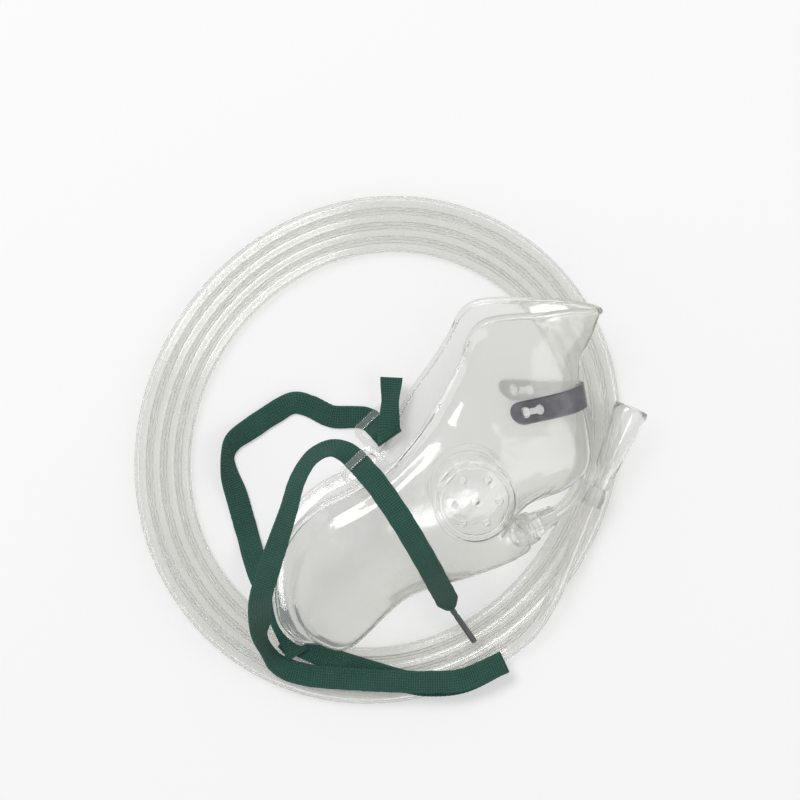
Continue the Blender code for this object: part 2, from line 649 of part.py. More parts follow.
def head_strap(finish):
    """The woven strap as one ribbon, with a flat fold between one leg and the next."""
    flips = [(-1) ** k for k in range(len(STRAP_LEGS))]
    legs = [leg_frames(leg, flip) for leg, flip in zip(STRAP_LEGS, flips, strict=True)]
    frames = legs[0]
    for k in range(1, len(legs)):
        fold = fold_frames(legs[k - 1], legs[k], flips[k - 1])
        frames = trimmed(frames, fold[0][0], fold[0][1], True) + fold
        frames += trimmed(legs[k], fold[-1][0], fold[-1][1], False)
    middle = np.array([(f[0] + f[1]) / 2 for f in frames])
    spread = np.array([(f[0] - f[1]) / 2 for f in frames])
    half = np.linalg.norm(spread, axis=1)
    across = spread / half[:, None]
    normal = np.array([f[2] for f in frames])
    to_end = np.r_[np.cumsum(np.linalg.norm(np.diff(middle, axis=0), axis=1)[::-1])[::-1], 0]
    taper = np.clip(to_end / TAPER_LENGTH, 0, 1) ** 0.6
    half = np.where(to_end < TAPER_LENGTH, TAPER_WIDTH / 2 + (half - TAPER_WIDTH / 2) * taper, half)
    thick = (TAPER_THICKNESS + (STRAP_THICKNESS - TAPER_THICKNESS) * taper) / 2
    return strip_solid("head_strap", middle, across, normal, half, thick, finish)


def strap_tip(finish):
    """The crimped tip on the strap's free end: a slim rod with a waist near the strap."""
    start, end = Vector(STRAP_LEGS[-1][-1][:3]), Vector(TIP_END)
    axis = (end - start).normalized()
    r = TIP_RADIUS
    profile = [
        (0, 0), (0, r * 0.85), (0.5, r), (2.2, r), (2.6, r * 0.85), (3.4, r * 0.85), (3.8, r),
        (TIP_LENGTH - 0.5, r), (TIP_LENGTH, r * 0.75), (TIP_LENGTH, 0),
    ]
    return turned("strap_tip", profile, start + axis * TIP_START, axis, finish, TIP_TURNS)


def inlet_connector(finish):
    centre, axis, _, _ = port_frame()
    return turned("inlet_connector", [*INLET_OUTER, *INLET_INNER], centre, axis, finish)


def end_connector(finish):
    root = Vector(END_CONNECTOR_ROOT)
    axis = (Vector(END_CONNECTOR_MOUTH) - root).normalized()
    return turned("end_connector", [*END_OUTER, *END_INNER], root + axis * GAP, axis, finish)


def coil_middle(turn):
    """The radius of the coil's middle line at this angle: it is packed a little out of round."""
    (once_x, once_y), (twice_x, twice_y) = COIL_WAVES
    once = once_x * math.cos(turn) + once_y * math.sin(turn)
    twice = twice_x * math.cos(2 * turn) + twice_y * math.sin(2 * turn)
    return COIL_MIDDLE + once + twice


def tubing_coil(finish):
    """The outer shape of the coil: a flat ring with rounded edges, swept round its middle line."""
    corner, half = COIL_CORNER, COIL_WIDTH / 2 - COIL_CORNER
    section = []
    for aside, height, start in (
        (half, COIL_HEIGHT - corner, 90), (half, corner, 0), (-half, corner, -90), (-half, COIL_HEIGHT - corner, 180),
    ):
        for k in range(3):
            a = math.radians(start - 45 * k)
            section.append((aside + corner * math.cos(a), height + corner * math.sin(a)))
    points, faces = [], []
    n = len(section)
    for k in range(COIL_TURNS):
        turn = 2 * math.pi * k / COIL_TURNS
        middle = coil_middle(turn)
        points += [((middle + r) * math.cos(turn), (middle + r) * math.sin(turn), z) for r, z in section]
        here, there = k * n, (k + 1) % COIL_TURNS * n
        faces += [(here + i, here + (i + 1) % n, there + (i + 1) % n, there + i) for i in range(n)]
    return mesh_object("tubing_coil", points, faces, finish)


def main():
    clear_scene()
    pvc = material("clear_pvc", (0.86, 0.88, 0.84), 0.12, alpha=0.35)
    tubing = material("clear_tubing", (0.84, 0.86, 0.80), 0.15, alpha=0.5)
    aluminium = material("aluminium", (0.62, 0.63, 0.65), 0.38, metallic=1.0)
    elastic = material("green_elastic", (0.016, 0.083, 0.060), 0.85)
    crimp = material("crimped_tip", (0.10, 0.11, 0.11), 0.45)
    rigid = material("clear_connector", (0.88, 0.90, 0.88), 0.1, alpha=0.5)
    tree = outer_tree(mask_surface())
    body = mask_shell(pvc)
    add_lugs(body)
    nose_clip(tree, body, aluminium)
    add_vents(body, tree)
    head_strap(elastic)
    strap_tip(crimp)
    inlet_connector(rigid)
    tube("oxygen_tube_start", START_ROUTE, tubing)
    tubing_coil(tubing)
    tube("oxygen_tube_end", END_ROUTE, tubing)
    end_connector(rigid)


main()
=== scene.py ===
"""An adult oxygen mask with its strap, nose clip and tubing, packed as one flat bundle: the finished look.

Plan positions are in millimetres from the coil's centre, x to the right and y up as seen from above, and z is
the height above the table. to_frame() turns them into metres in the part's frame.
"""

import math

import bmesh
import bpy
import numpy as np
from bpy.props import FloatProperty, FloatVectorProperty, IntProperty, PointerProperty
from bpy.types import Operator, Panel, PropertyGroup
from mathutils import Matrix, Vector
from mathutils.bvhtree import BVHTree


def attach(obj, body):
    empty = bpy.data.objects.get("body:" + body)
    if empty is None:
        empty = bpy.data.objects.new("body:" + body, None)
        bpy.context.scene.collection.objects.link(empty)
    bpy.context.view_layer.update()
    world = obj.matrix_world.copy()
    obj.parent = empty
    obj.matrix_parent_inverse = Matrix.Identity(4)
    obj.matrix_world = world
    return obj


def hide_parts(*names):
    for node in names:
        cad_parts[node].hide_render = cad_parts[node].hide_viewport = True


bl_info = {
    "name": "Oxygen Mask Set",
    "version": (1, 0, 0),
    "blender": (4, 5, 0),
    "location": "View3D > Sidebar > Oxygen Mask",
    "description": "Builds a packed oxygen mask with its strap, nose clip and coiled tubing",
    "category": "Add Mesh",
}

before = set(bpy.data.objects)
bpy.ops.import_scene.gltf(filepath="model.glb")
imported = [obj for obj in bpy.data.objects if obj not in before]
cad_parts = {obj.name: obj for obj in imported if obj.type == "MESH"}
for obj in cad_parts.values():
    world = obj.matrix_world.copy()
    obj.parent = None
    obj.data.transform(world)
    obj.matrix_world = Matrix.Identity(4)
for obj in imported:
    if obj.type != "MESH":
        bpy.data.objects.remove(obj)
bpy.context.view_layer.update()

MM = 0.001
COIL_CENTRE = (-9.74, 18.63)

# Names of the UV map, the attributes and the node group that the finishes read.
SURFACE_MAP = "surface"
INNER_FACE = "inner_face"
ALONG_TUBE = "along_tube"
MOULDED = "moulded_surface"

# Samples in each span of a smooth curve, and flats round a small hole or turned piece.
CURVE_SAMPLES = 24
SMALL_SIDES = 32

# Mask: each guide ring lists (x, y, half-width) from the nose side round one cheek to the chin side.
MASK_MIDPLANE = 27.66
RIM = [
    (84, 53.5, 0), (72.5, 55, 7), (58.5, 54.5, 10.8), (45, 54.2, 12.5), (36.5, 52.5, 14), (31.5, 47.5, 16),
    (28.5, 40, 18.5), (22.5, 29, 21), (15, 17.5, 23.5), (7.7, 6.3, 25.7), (0, -4.5, 26.5), (-12, -12.5, 26),
    (-24, -18.5, 25), (-34, -27.5, 23), (-40, -40, 19.5), (-42, -54, 15.5), (-39, -67.5, 10),
    (-31.5, -75.5, 0),
]
BRIDGE_RING = [
    (76, 30.5, 0), (69, 33, 6.5), (59, 35, 10.5), (50, 34.5, 13.5), (43, 30.5, 16.5), (37, 22, 20),
    (28, 9, 24), (15, -6, 27), (1, -18.5, 27.6), (-13, -29, 26.5), (-24, -41, 23.5), (-29, -54, 19),
    (-26, -67, 12.5), (-13.5, -77, 0),
]
CHEEK_RING = [
    (80.5, -2, 0), (76, -0.5, 6), (68, 2.5, 10), (59, 3, 14), (51, -3, 18), (43, -12, 21.5),
    (34, -21, 23.5), (24.5, -30, 23.3), (15.5, -38.5, 21), (9, -47, 16.5), (6.5, -54, 9), (9, -57.5, 0),
]
NOSE_RING = [
    (73, -13.5, 0), (67, -12.5, 7), (60, -14.5, 11), (53, -19, 13.5), (46.5, -26, 15), (40.5, -33, 14.5),
    (36, -40, 11.5), (33.5, -45.5, 7), (33, -49.5, 0),
]
PORT_ROOT_RING = [
    (58, -20, 0), (54.5, -20.5, 5.5), (50.5, -24, 8.5), (47.5, -30, 10), (46, -36, 9.4), (46, -41, 6.2),
    (48, -44, 0),
]
# The flange's ring: its part of the way from the rim to the bridge, and of the half-width there.
FLANGE_RISE = 0.3
FLANGE_FLARE = 0.95
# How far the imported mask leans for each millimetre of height: SKEW_LOW of SKEW up to the plan position
# y = SKEW_FROM, growing to all of it over the next SKEW_OVER.
SKEW = (0.10, -0.30)
SKEW_LOW = 0.4
SKEW_FROM = -10.0
SKEW_OVER = 25.0
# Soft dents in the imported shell: the middle, the direction, the half length and width, and the depth.
DENTS = [
    ((29.0, 8.5), (0.84, -0.54), 13.0, 3.8, 1.3),
    ((-14.0, -36.0), (0.80, 0.60), 15.0, 5.0, 1.2),
    ((46.0, 40.0), (0.55, -0.84), 11.0, 4.0, 0.9),
]
HALF_STATIONS = 72
ROWS_PER_RING = 9
NORMAL_SMOOTHING = 8
BEAD_STEPS = 15
BEAD_SET_BACK = 0.8

# Inlet port: a soft collar below the nose, turned towards the coil and dipping to it.
PORT_CENTRE = (51.0, -33.0, 27.16)
PORT_HEADING = math.radians(28)
PORT_DIP = math.radians(20)
PORT_ROOT = (0.6, 8.2)
COLLAR_RADIUS = 6.65
COLLAR_REACH = (3.0, 6.0)

# Vents: a round panel of seven holes on each cheek.
VENT_CENTRE = (34.0, -16.5)
VENT_RISE = 22.0
VENT_HOLE_RADIUS = 1.6
VENT_CIRCLE_RADIUS = 9.6
VENT_CIRCLE_HOLES = 6
VENT_PANEL_RADII = (13.3, 15.7)
VENT_RIB_RADIUS = 0.7
VENT_RIB_STEPS = 96
VENT_RIB_SIDES = 10
VENT_CUT_DEPTH = 8.0
CHEEK_RAY_FROM = 60.0

# Strap lugs: one tab on each side of the rim, the upper one first, with a slot along the rim.
LUG_OUT = (-0.69, 0.724, 0.0)
LUG_ROOTS = [(-3.0, -11.7, 53.66), (1.7, 3.9, 4.06)]
LUG_WIDTH = 17.0
LUG_REACH = 13.5
LUG_ROOT_DEPTH = 2.5
LUG_THICKNESS = 1.5
LUG_CORNER = 3.5
LUG_CORNER_STEPS = 8
LUG_BEVEL = 0.35
SLOT_LENGTH = 12.4
SLOT_WIDTH = 4.8
SLOT_CORNER = 2.39
SLOT_FROM_ROOT = 8.0

# Nose clip: an aluminium strip over the nose, with a double keyhole slot in each arm.
CLIP_CLEARANCE = 1.3
CLIP_RISE = 17.0
CLIP_RIDGE_Y = 22.3
CLIP_NEAR_Y = 13.7
CLIP_FAR_Y = 24.0
CLIP_RAY_FROM = 140.0
CLIP_STATIONS = 33
CLIP_SMOOTHING = 3
CLIP_STEPS = 90
CLIP_END_STEPS = 12
CLIP_END_FROM = 0.08
CLIP_END_LEAST = 0.02
CLIP_COLUMNS = 13
CLIP_BEVEL = 0.12
KEYHOLE_RADII = (2.2, 2.0)
KEYHOLE_SPACING = 6.2
KEYHOLE_NECK = 2.4
KEYHOLE_FROM_END = 5.8
KEYHOLE_CUT_DEPTH = 4.0
KEYHOLE_SIDES = 40
STUD_RADIUS = 1.85
STUD_ROOT = 2.2
STUD_RISE = 1.1
# The stud's neck and head, as (distance from its top, part of its radius).
STUD_HEAD = [(-0.7, 0.9), (-0.6, 1.0), (-0.25, 0.94), (-0.06, 0.7), (0.0, 0.35)]

# Head strap: woven elastic, given as legs between folds. Each point is (x, y, z, roll in degrees).
STRAP_LEGS = [
    [(2.5, 29, 7.7, 8), (2.0, 20, 8.2, 40), (1.6, 12, 7.9, 22), (1.4, 5.5, 7.7, 0)],
    [
        (1.4, 5.5, 6.2, 0), (-0.3, 6.2, 6.5, 0), (-2.1, 7.9, 6.4, 0), (-3.8, 9.7, 4.0, 0),
        (-5.5, 11.4, 1.7, 0), (-8.4, 12.9, 0.9, 0), (-13, 13.2, 0.8, 0), (-21.5, 13.5, 0.7, 0),
        (-30, 17.5, 1.3, -8), (-37, 18.8, 1.5, -10), (-45, 14.5, 1.3, -8), (-54, 8.5, 1.7, -10),
        (-60.5, 3.6, 3.4, -35), (-62.8, -2.5, 4.4, -58), (-62.0, -10, 3.5, -40), (-59.4, -18, 1.8, -12),
        (-56.6, -28, 0.8, 0), (-54.6, -35, 1.3, 0), (-52.6, -42, 4.2, 0), (-50.3, -48.8, 7.6, 0),
        (-46.8, -56, 9.2, 0), (-43.2, -63.5, 9.7, 0), (-39.4, -71.5, 9.9, 0), (-35.1, -80.2, 9.9, 0),
    ],
    [(-35.1, -80.2, 8.4, 0), (-37.0, -77.7, 8.4, 0), (-39.0, -75.2, 8.4, 0)],
    [
        (-39.0, -75.2, 6.9, 0), (-31.0, -79.0, 6.9, 0), (-18.5, -84, 6.9, 0), (-5, -88.2, 6.9, 0),
        (6, -91.4, 6.9, 0), (17, -93.4, 6.9, 0), (31, -92.0, 6.9, 0), (46.5, -84.5, 6.9, 0),
    ],
    [
        (46.5, -84.5, 8.4, 0), (31, -91.0, 8.7, 8), (17, -92.0, 9.2, 12), (3, -91.6, 9.2, 10),
        (-13, -90.8, 8.8, 4), (-27, -89.8, 8.6, 4), (-33, -88.8, 7.9, 8), (-38.8, -87, 8.7, 14),
        (-44.3, -83.2, 11.2, 42), (-48.2, -75.5, 18, 60), (-48.8, -66, 32, 12), (-48.0, -57, 46.4, -8),
        (-45.0, -46.5, 50.6, -12), (-40.6, -33.5, 52.9, -28), (-36.8, -22, 54.0, -40),
        (-33.6, -11, 53.4, -46), (-28.4, -2.4, 52.0, -50), (-21.5, 1.4, 50.9, -46), (-15, 0.0, 50.2, -26),
        (-10.2, -4.1, 51.4, -6), (-8.5, -5.9, 53.7, 0), (-6.9, -7.7, 55.9, 0), (-3.5, -11.5, 56.5, 0),
        (1.5, -18.5, 56.4, 0), (6.5, -26, 55.9, 0), (11, -33.5, 54.2, 0), (15, -40.5, 50.9, 0),
        (18, -46, 46.3, 0), (20.5, -51, 39.5, 0), (22.8, -55.4, 30, 0), (24.6, -59.2, 20, 0),
        (26.0, -62.2, 13.5, 0),
    ],
]
STRAP_STEP = 0.6
FOLD_STEPS = 13
FOLD_MARGIN = 0.8
# Half of the band's outline, as parts of its half width and half thickness: the flat columns, then the edge.
STRAP_FLAT = 0.93
STRAP_COLUMNS = 9
STRAP_EDGE = [(0.985, 0.6), (1.0, 0.0), (0.985, -0.6)]
WEAVE_RIB = 0.06
TAPER_LENGTH = 7.0
TAPER_WIDTH = 2.4
TAPER_THICKNESS = 2.0
TAPER_POWER = 0.6

# Strap tip along its axis, as (distance, part of its radius).
TIP_START = 0.8
TIP_END = (35.8, -76.5, 7.6)
TIP_RADIUS = 1.15
TIP_PROFILE = [
    (0, 0.85), (0.5, 1.0), (2.2, 1.0), (2.6, 0.85), (3.4, 0.85), (3.8, 1.0), (16.4, 1.0), (16.85, 0.9),
    (17, 0.7),
]

# Inlet connector along the port's axis, as (distance, radius): its outside from the mask to its tip, then
# the socket for the tube and the bore behind it.
INLET_OUTER = [
    (-1.4, 4.3), (-0.8, 4.95), (6.4, 4.95), (6.4, 6.3), (8.0, 6.3), (8.6, 5.2), (12.2, 4.9), (12.6, 4.4),
    (17.4, 4.1), (18.0, 3.8),
]
INLET_INNER = [(18.0, 2.9), (11.0, 2.9), (11.0, 1.9), (-1.4, 1.9)]
CONNECTOR_BEVEL = 0.2

# Tubing: one length of clear tube, with both ends on top of the coil and seated in their connectors.
START_ROUTE = [
    (60.42, -27.99, 23.28), (64.0, -26.09, 21.81), (67.5, -24.25, 20.38), (71.6, -21.2, 18.7),
    (75.4, -16.2, 16.7), (78.1, -10.0, 14.3), (79.6, -3.5, 12.0), (80.2, 3.0, 10.3), (80.0, 9.0, 9.5),
]
END_CONNECTOR_ROOT = (81.4, -22.0, 10.9)
END_ROUTE = [
    (58.0, -72.45, 5.6), (64.6, -61.8, 8.8), (68.4, -54.6, 9.45), (71.8, -46.6, 9.8), (75.0, -38.2, 10.1),
    (78.25, -29.7, 10.4), END_CONNECTOR_ROOT, (82.85, -18.5, 11.14), (84.3, -15.0, 11.39),
]
COIL_HEIGHT = 3.0
COIL_MIDDLE = 88.2
COIL_WAVES = ((-1.8, 1.7), (-1.5, 3.3))
COIL_SPREAD = 10.2
COIL_PITCH = 5.65
COIL_LANE_FROM = math.radians(65)
COIL_WHOLE_TURNS = 4
COIL_STEPS_PER_TURN = 40
LANE_REACHED_AT = 0.5
ROUTE_SAMPLES = 8
TUBE_STEP = 2.4
TUBE_SIDES = 40
LUMEN_RIDGES = 5
LUMEN_RIDGE_HEIGHT = 0.28
DIE_LINE_STRETCH = 0.01
CLOUD_SCALE = 45.0

# End connector along its axis, as (distance, outer radius) and (distance, inner radius).
END_CONNECTOR_MOUTH = (97.4, 16.6, 13.6)
END_GAP = 0.3
END_OUTER = [
    (0, 4.0), (0.5, 4.3), (9.5, 4.3), (10.5, 4.7), (11.5, 4.7), (12.5, 4.4), (20, 4.9), (29, 5.8),
    (36.5, 6.5), (39, 6.9), (41.5, 6.9), (42, 6.6),
]
END_INNER = [(42, 5.9), (38.5, 5.6), (29, 4.7), (18, 3.5), (13.5, 1.9), (8.0, 1.9), (8.0, 2.9), (0, 2.9)]

# Camera straight above the middle of the picture, which shows 2.55 pixels for each millimetre.
VIEW_CENTRE = (5.88, 20.0, 25.0)
VIEW_DISTANCE = 1300.0
VIEW_WIDTH = 800 / 2.55
SENSOR_WIDTH = 36.0
CLIP_START = 0.05

# Table and lamps in metres, each lamp as its place and its two sides.
TABLE_SIZE = 6.0
TABLE_DROP = 0.0002
KEY_LAMP = ((-0.80, 0.95, 1.90), (1.1, 0.8))
FILL_LAMP = ((1.6, -0.35, 1.5), (1.6, 1.2))
WHITE = (1.0, 1.0, 1.0)
LIGHT_BOUNCES = {
    "max_bounces": 28,
    "glossy_bounces": 20,
    "transmission_bounces": 24,
    "transparent_max_bounces": 48,
}


def measure(name, description, millimetres):
    """A length among the scene's settings, kept in metres."""
    return FloatProperty(
        name=name, description=description, default=millimetres * MM, subtype="DISTANCE", unit="LENGTH"
    )


def tint(name, description, colour):
    """A colour among the scene's settings."""
    return FloatVectorProperty(name=name, description=description, default=colour, subtype="COLOR", size=3)


class TubingSettings(PropertyGroup):
    diameter: measure("Diameter", "Outside diameter of the tube", 5.6)
    bore: measure("Bore", "Inside diameter between the ridges", 3.8)
    colour: tint("Colour", "Tint of the tube", (0.972, 0.969, 0.955))
    edge: tint("Edge Colour", "Tint where the wall is seen edge on", (0.83, 0.826, 0.785))


class MaskSettings(PropertyGroup):
    wall: measure("Wall", "Thickness of the shell", 1.3)
    bead: measure("Rim Bead", "Radius of the rolled rim", 1.5)
    colour: tint("Colour", "Tint of the soft plastic", (0.935, 0.935, 0.92))
    edge: tint("Edge Colour", "Tint where the wall is seen edge on", (0.67, 0.675, 0.59))


class ClipSettings(PropertyGroup):
    width: measure("Width", "Width of the strip", 9.3)
    thickness: measure("Thickness", "Thickness of the strip", 0.8)
    colour: tint("Colour", "Outer face of the metal", (0.205, 0.202, 0.219))
    # The inner face's colour is painted pale for the light that face reflects.
    inner_reflection_colour: tint("Inner Colour", "Inner face of the metal", (0.74, 0.735, 0.73))


class StrapSettings(PropertyGroup):
    width: measure("Width", "Width of the elastic", 9.0)
    thickness: measure("Thickness", "Thickness of the elastic", 0.9)
    weave: measure("Weave", "Distance from one woven rib to the next", 0.95)
    colour: tint("Colour", "Yarn colour", (0.008, 0.054, 0.038))
    light: tint("Light Colour", "Yarn where it is stretched or worn", (0.036, 0.135, 0.102))


class ConnectorSettings(PropertyGroup):
    sides: IntProperty(name="Sides", description="Flats round a turned piece", default=64, min=16)
    colour: tint("Colour", "Tint of the rigid plastic", (0.965, 0.967, 0.955))
    tip_colour: tint("Tip Colour", "Crimped tip of the strap", (0.085, 0.095, 0.095))


class StageSettings(PropertyGroup):
    floor: tint("Floor", "Colour of the table", (0.62, 0.62, 0.62))
    glow: FloatProperty(name="Glow", description="White added to the table where it is seen", default=0.42)
    key: FloatProperty(name="Key Light", description="Power of the main lamp in watts", default=24.0)
    fill: FloatProperty(name="Fill Light", description="Power of the side lamp in watts", default=9.0)
    sky: FloatProperty(name="Sky", description="Strength of the light from all round", default=0.55)


def group_of(kind, name, description):
    return PointerProperty(type=kind, name=name, description=description)


class OxygenMaskSettings(PropertyGroup):
    tubing: group_of(TubingSettings, "Tubing", "Sizes and colours of the tubing")
    mask: group_of(MaskSettings, "Mask", "Sizes and colours of the mask")
    clip: group_of(ClipSettings, "Nose Clip", "Sizes and colours of the nose clip")
    strap: group_of(StrapSettings, "Head Strap", "Sizes and colours of the head strap")
    connectors: group_of(ConnectorSettings, "Connectors", "The small rigid pieces")
    stage: group_of(StageSettings, "Stage", "The table and the lamps")


def settings():
    return bpy.context.scene.oxygen_mask


def to_frame(points):
    """Plan points in millimetres, as metres in the part's frame."""
    return (np.asarray(points, float) + (*COIL_CENTRE, 0.0)) * MM


def catmull(points, per_span, closed=False):
    """A smooth curve through the points, with per_span samples in each span."""
    points = np.asarray(points, float)
    count = len(points)
    if closed:
        padded = np.vstack([points[-1:], points, points[:2]])
    else:
        padded = np.vstack([2 * points[0] - points[1], points, 2 * points[-1] - points[-2]])
    curve = []
    for i in range(count if closed else count - 1):
        a, b, c, d = padded[i : i + 4]
        for t in np.arange(per_span) / per_span:
            bent = (2 * a - 5 * b + 4 * c - d) * t**2 + (3 * b - a - 3 * c + d) * t**3
            curve.append(0.5 * (2 * b + (c - a) * t + bent))
    curve.append(points[0] if closed else points[-1])
    return np.array(curve)


def run_lengths(curve):
    return np.r_[0, np.cumsum(np.linalg.norm(np.diff(curve, axis=0), axis=1))]


def at_lengths(curve, wanted):
    """The curve's points at the wanted distances along it."""
    lengths = run_lengths(curve)
    return np.stack([np.interp(wanted, lengths, column) for column in curve.T], axis=1)


def even(curve, count):
    """The curve as count equal steps along its length."""
    return at_lengths(curve, np.linspace(0, run_lengths(curve)[-1], count + 1))


def unit(vectors):
    return vectors / np.linalg.norm(vectors, axis=-1, keepdims=True)


def smooth_step(t):
    t = min(max(t, 0.0), 1.0)
    return t * t * (3 - 2 * t)


def round_turns(count):
    """Equal turns round a circle, without the last one, which is the first again."""
    return np.linspace(0, 2 * math.pi, count, endpoint=False)


def deselect():
    bpy.ops.object.select_all(action="DESELECT")


def select_only(obj):
    deselect()
    obj.select_set(True)
    bpy.context.view_layer.objects.active = obj


def apply_modifier(obj, kind, **values):
    """Adds a modifier with these values to the object and applies it."""
    modifier = obj.modifiers.new(kind.title(), kind)
    for name, value in values.items():
        setattr(modifier, name, value)
    select_only(obj)
    bpy.ops.object.modifier_apply(modifier=modifier.name)


def bevel_edges(obj, width, segments, angle):
    """Rounds the edges that are sharper than the angle in degrees."""
    sharp = math.radians(angle)
    apply_modifier(obj, "BEVEL", width=width * MM, segments=segments, limit_method="ANGLE", angle_limit=sharp)


def combine(target, other, operation):
    """A Boolean of the other piece with the target. The other piece is used up."""
    apply_modifier(target, "BOOLEAN", operation=operation, solver="EXACT", object=other)
    bpy.data.objects.remove(other, do_unlink=True)


def joined(objects):
    deselect()
    for obj in objects:
        obj.select_set(True)
    bpy.context.view_layer.objects.active = objects[0]
    bpy.ops.object.join()
    return objects[0]


def apply_place(obj):
    select_only(obj)
    bpy.ops.object.transform_apply(location=True, rotation=True, scale=True)


def stand(obj, origin, axis, across=(0, 0, 1)):
    """Puts a piece made round the world's Z axis at its place, with Z along the axis, and applies it."""
    z = Vector(axis).normalized()
    x = Vector(across)
    x = x - z * x.dot(z)
    x = x.normalized() if x.length > 0.01 else z.orthogonal().normalized()
    turn = Matrix((x, z.cross(x), z)).transposed().to_4x4()
    obj.matrix_world = Matrix.Translation(to_frame(origin)) @ turn
    apply_place(obj)


def block(length, width, height, middle=0.0):
    """A box in millimetres, with its middle this far along X."""
    deselect()
    bpy.ops.mesh.primitive_cube_add(size=1)
    made = bpy.context.active_object
    made.scale = (length * MM, width * MM, height * MM)
    made.location = (middle * MM, 0, 0)
    apply_place(made)
    return made


def round_cutter(radius, depth, vertices, place, normal, across=(0, 0, 1)):
    """A cylinder to cut a hole with, its middle at the place."""
    deselect()
    bpy.ops.mesh.primitive_cylinder_add(vertices=vertices, radius=radius * MM, depth=depth * MM)
    made = bpy.context.active_object
    stand(made, place, normal, across)
    return made


def mesh_piece(name, points, faces, uv=None):
    """A mesh of plan points, with its normals outwards and, where given, a UV map in millimetres."""
    mesh = bpy.data.meshes.new(name)
    mesh.from_pydata(to_frame(points).tolist(), [], faces)
    if uv is not None:
        layer = mesh.uv_layers.new(name=SURFACE_MAP)
        corners = np.empty(len(mesh.loops), int)
        mesh.loops.foreach_get("vertex_index", corners)
        layer.data.foreach_set("uv", np.asarray(uv, float)[corners].ravel())
    tidy = bmesh.new()
    tidy.from_mesh(mesh)
    bmesh.ops.recalc_face_normals(tidy, faces=tidy.faces)
    tidy.to_mesh(mesh)
    tidy.free()
    obj = bpy.data.objects.new(name, mesh)
    bpy.context.scene.collection.objects.link(obj)
    return obj


def swept_faces(sections, round_section=True, closed=False):
    """The quads between neighbouring sections, given as (how many sections, points in each)."""
    count, n = sections
    spans = count if closed else count - 1
    edges = n if round_section else n - 1
    return [
        (i * n + k, i * n + (k + 1) % n, (i + 1) % count * n + (k + 1) % n, (i + 1) % count * n + k)
        for i in range(spans)
        for k in range(edges)
    ]


def turned(name, profile, vertices, hollow=True):
    """A profile of (distance, radius) points, made by extruding and resizing a ring from point to point.

    A hollow piece's profile ends next to where it starts, and a solid one gets a flat face at each end.
    """
    deselect()
    distance, radius = profile[0]
    bpy.ops.mesh.primitive_circle_add(vertices=vertices, radius=radius * MM, fill_type="NOTHING")
    obj = bpy.context.active_object
    obj.name = obj.data.name = name
    bpy.ops.object.mode_set(mode="EDIT")
    bpy.ops.mesh.select_mode(type="VERT")
    bpy.ops.mesh.select_all(action="SELECT")
    bpy.ops.transform.translate(value=(0, 0, distance * MM))
    for (before, wide), (after, narrow) in zip(profile, profile[1:]):
        bpy.ops.mesh.extrude_region_move(TRANSFORM_OT_translate={"value": (0, 0, (after - before) * MM)})
        bpy.ops.transform.resize(value=(narrow / wide, narrow / wide, 1), center_override=(0, 0, 0))
    if hollow:
        bpy.ops.mesh.select_all(action="DESELECT")
        bpy.ops.mesh.select_non_manifold()
        bpy.ops.mesh.bridge_edge_loops()
    bpy.ops.mesh.select_all(action="SELECT")
    bpy.ops.mesh.fill_holes(sides=0)
    bpy.ops.mesh.normals_make_consistent(inside=False)
    bpy.ops.object.mode_set(mode="OBJECT")
    return obj


def finish_piece(obj, finish, replaced, angle=35.0):
    """Shades the piece, gives it its finish, and lets it stand for its CAD nodes."""
    select_only(obj)
    bpy.ops.object.shade_smooth_by_angle(angle=math.radians(angle))
    obj.data.materials.clear()
    obj.data.materials.append(finish)
    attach(obj, "root")
    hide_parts(*replaced)


def skewed(x, y, rise):
    """A point of the mask, rise above its midplane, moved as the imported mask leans."""
    lean = SKEW_LOW + (1 - SKEW_LOW) * min(max((y - SKEW_FROM) / SKEW_OVER, 0), 1)
    return np.array([x + SKEW[0] * lean * rise, y + SKEW[1] * lean * rise, MASK_MIDPLANE + rise])


def guide_ring(control):
    """The closed ring through the control points and their mirror images, as (x, y, rise) stations."""
    near = [np.array(p, float) for p in control]
    far = [p * (1, 1, -1) for p in near[-2:0:-1]]
    curve = catmull(near + far, CURVE_SAMPLES, closed=True)
    half = even(curve[: (len(near) - 1) * CURVE_SAMPLES + 1], HALF_STATIONS)
    return np.vstack([half, (half * (1, 1, -1))[-2:0:-1]])


def port_frame():
    """The port's centre, its axis, the direction to the nose and the one across both."""
    level = math.cos(PORT_DIP)
    axis = Vector((math.cos(PORT_HEADING) * level, math.sin(PORT_HEADING) * level, -math.sin(PORT_DIP)))
    nose = Vector((-math.sin(PORT_HEADING), math.cos(PORT_HEADING), 0))
    return Vector(PORT_CENTRE), axis, nose, axis.cross(nose)


def port_ring(along, radius):
    centre, axis, nose, up = port_frame()
    turns = round_turns(2 * HALF_STATIONS)
    return np.array([centre + axis * along + (nose * math.cos(a) + up * math.sin(a)) * radius for a in turns])


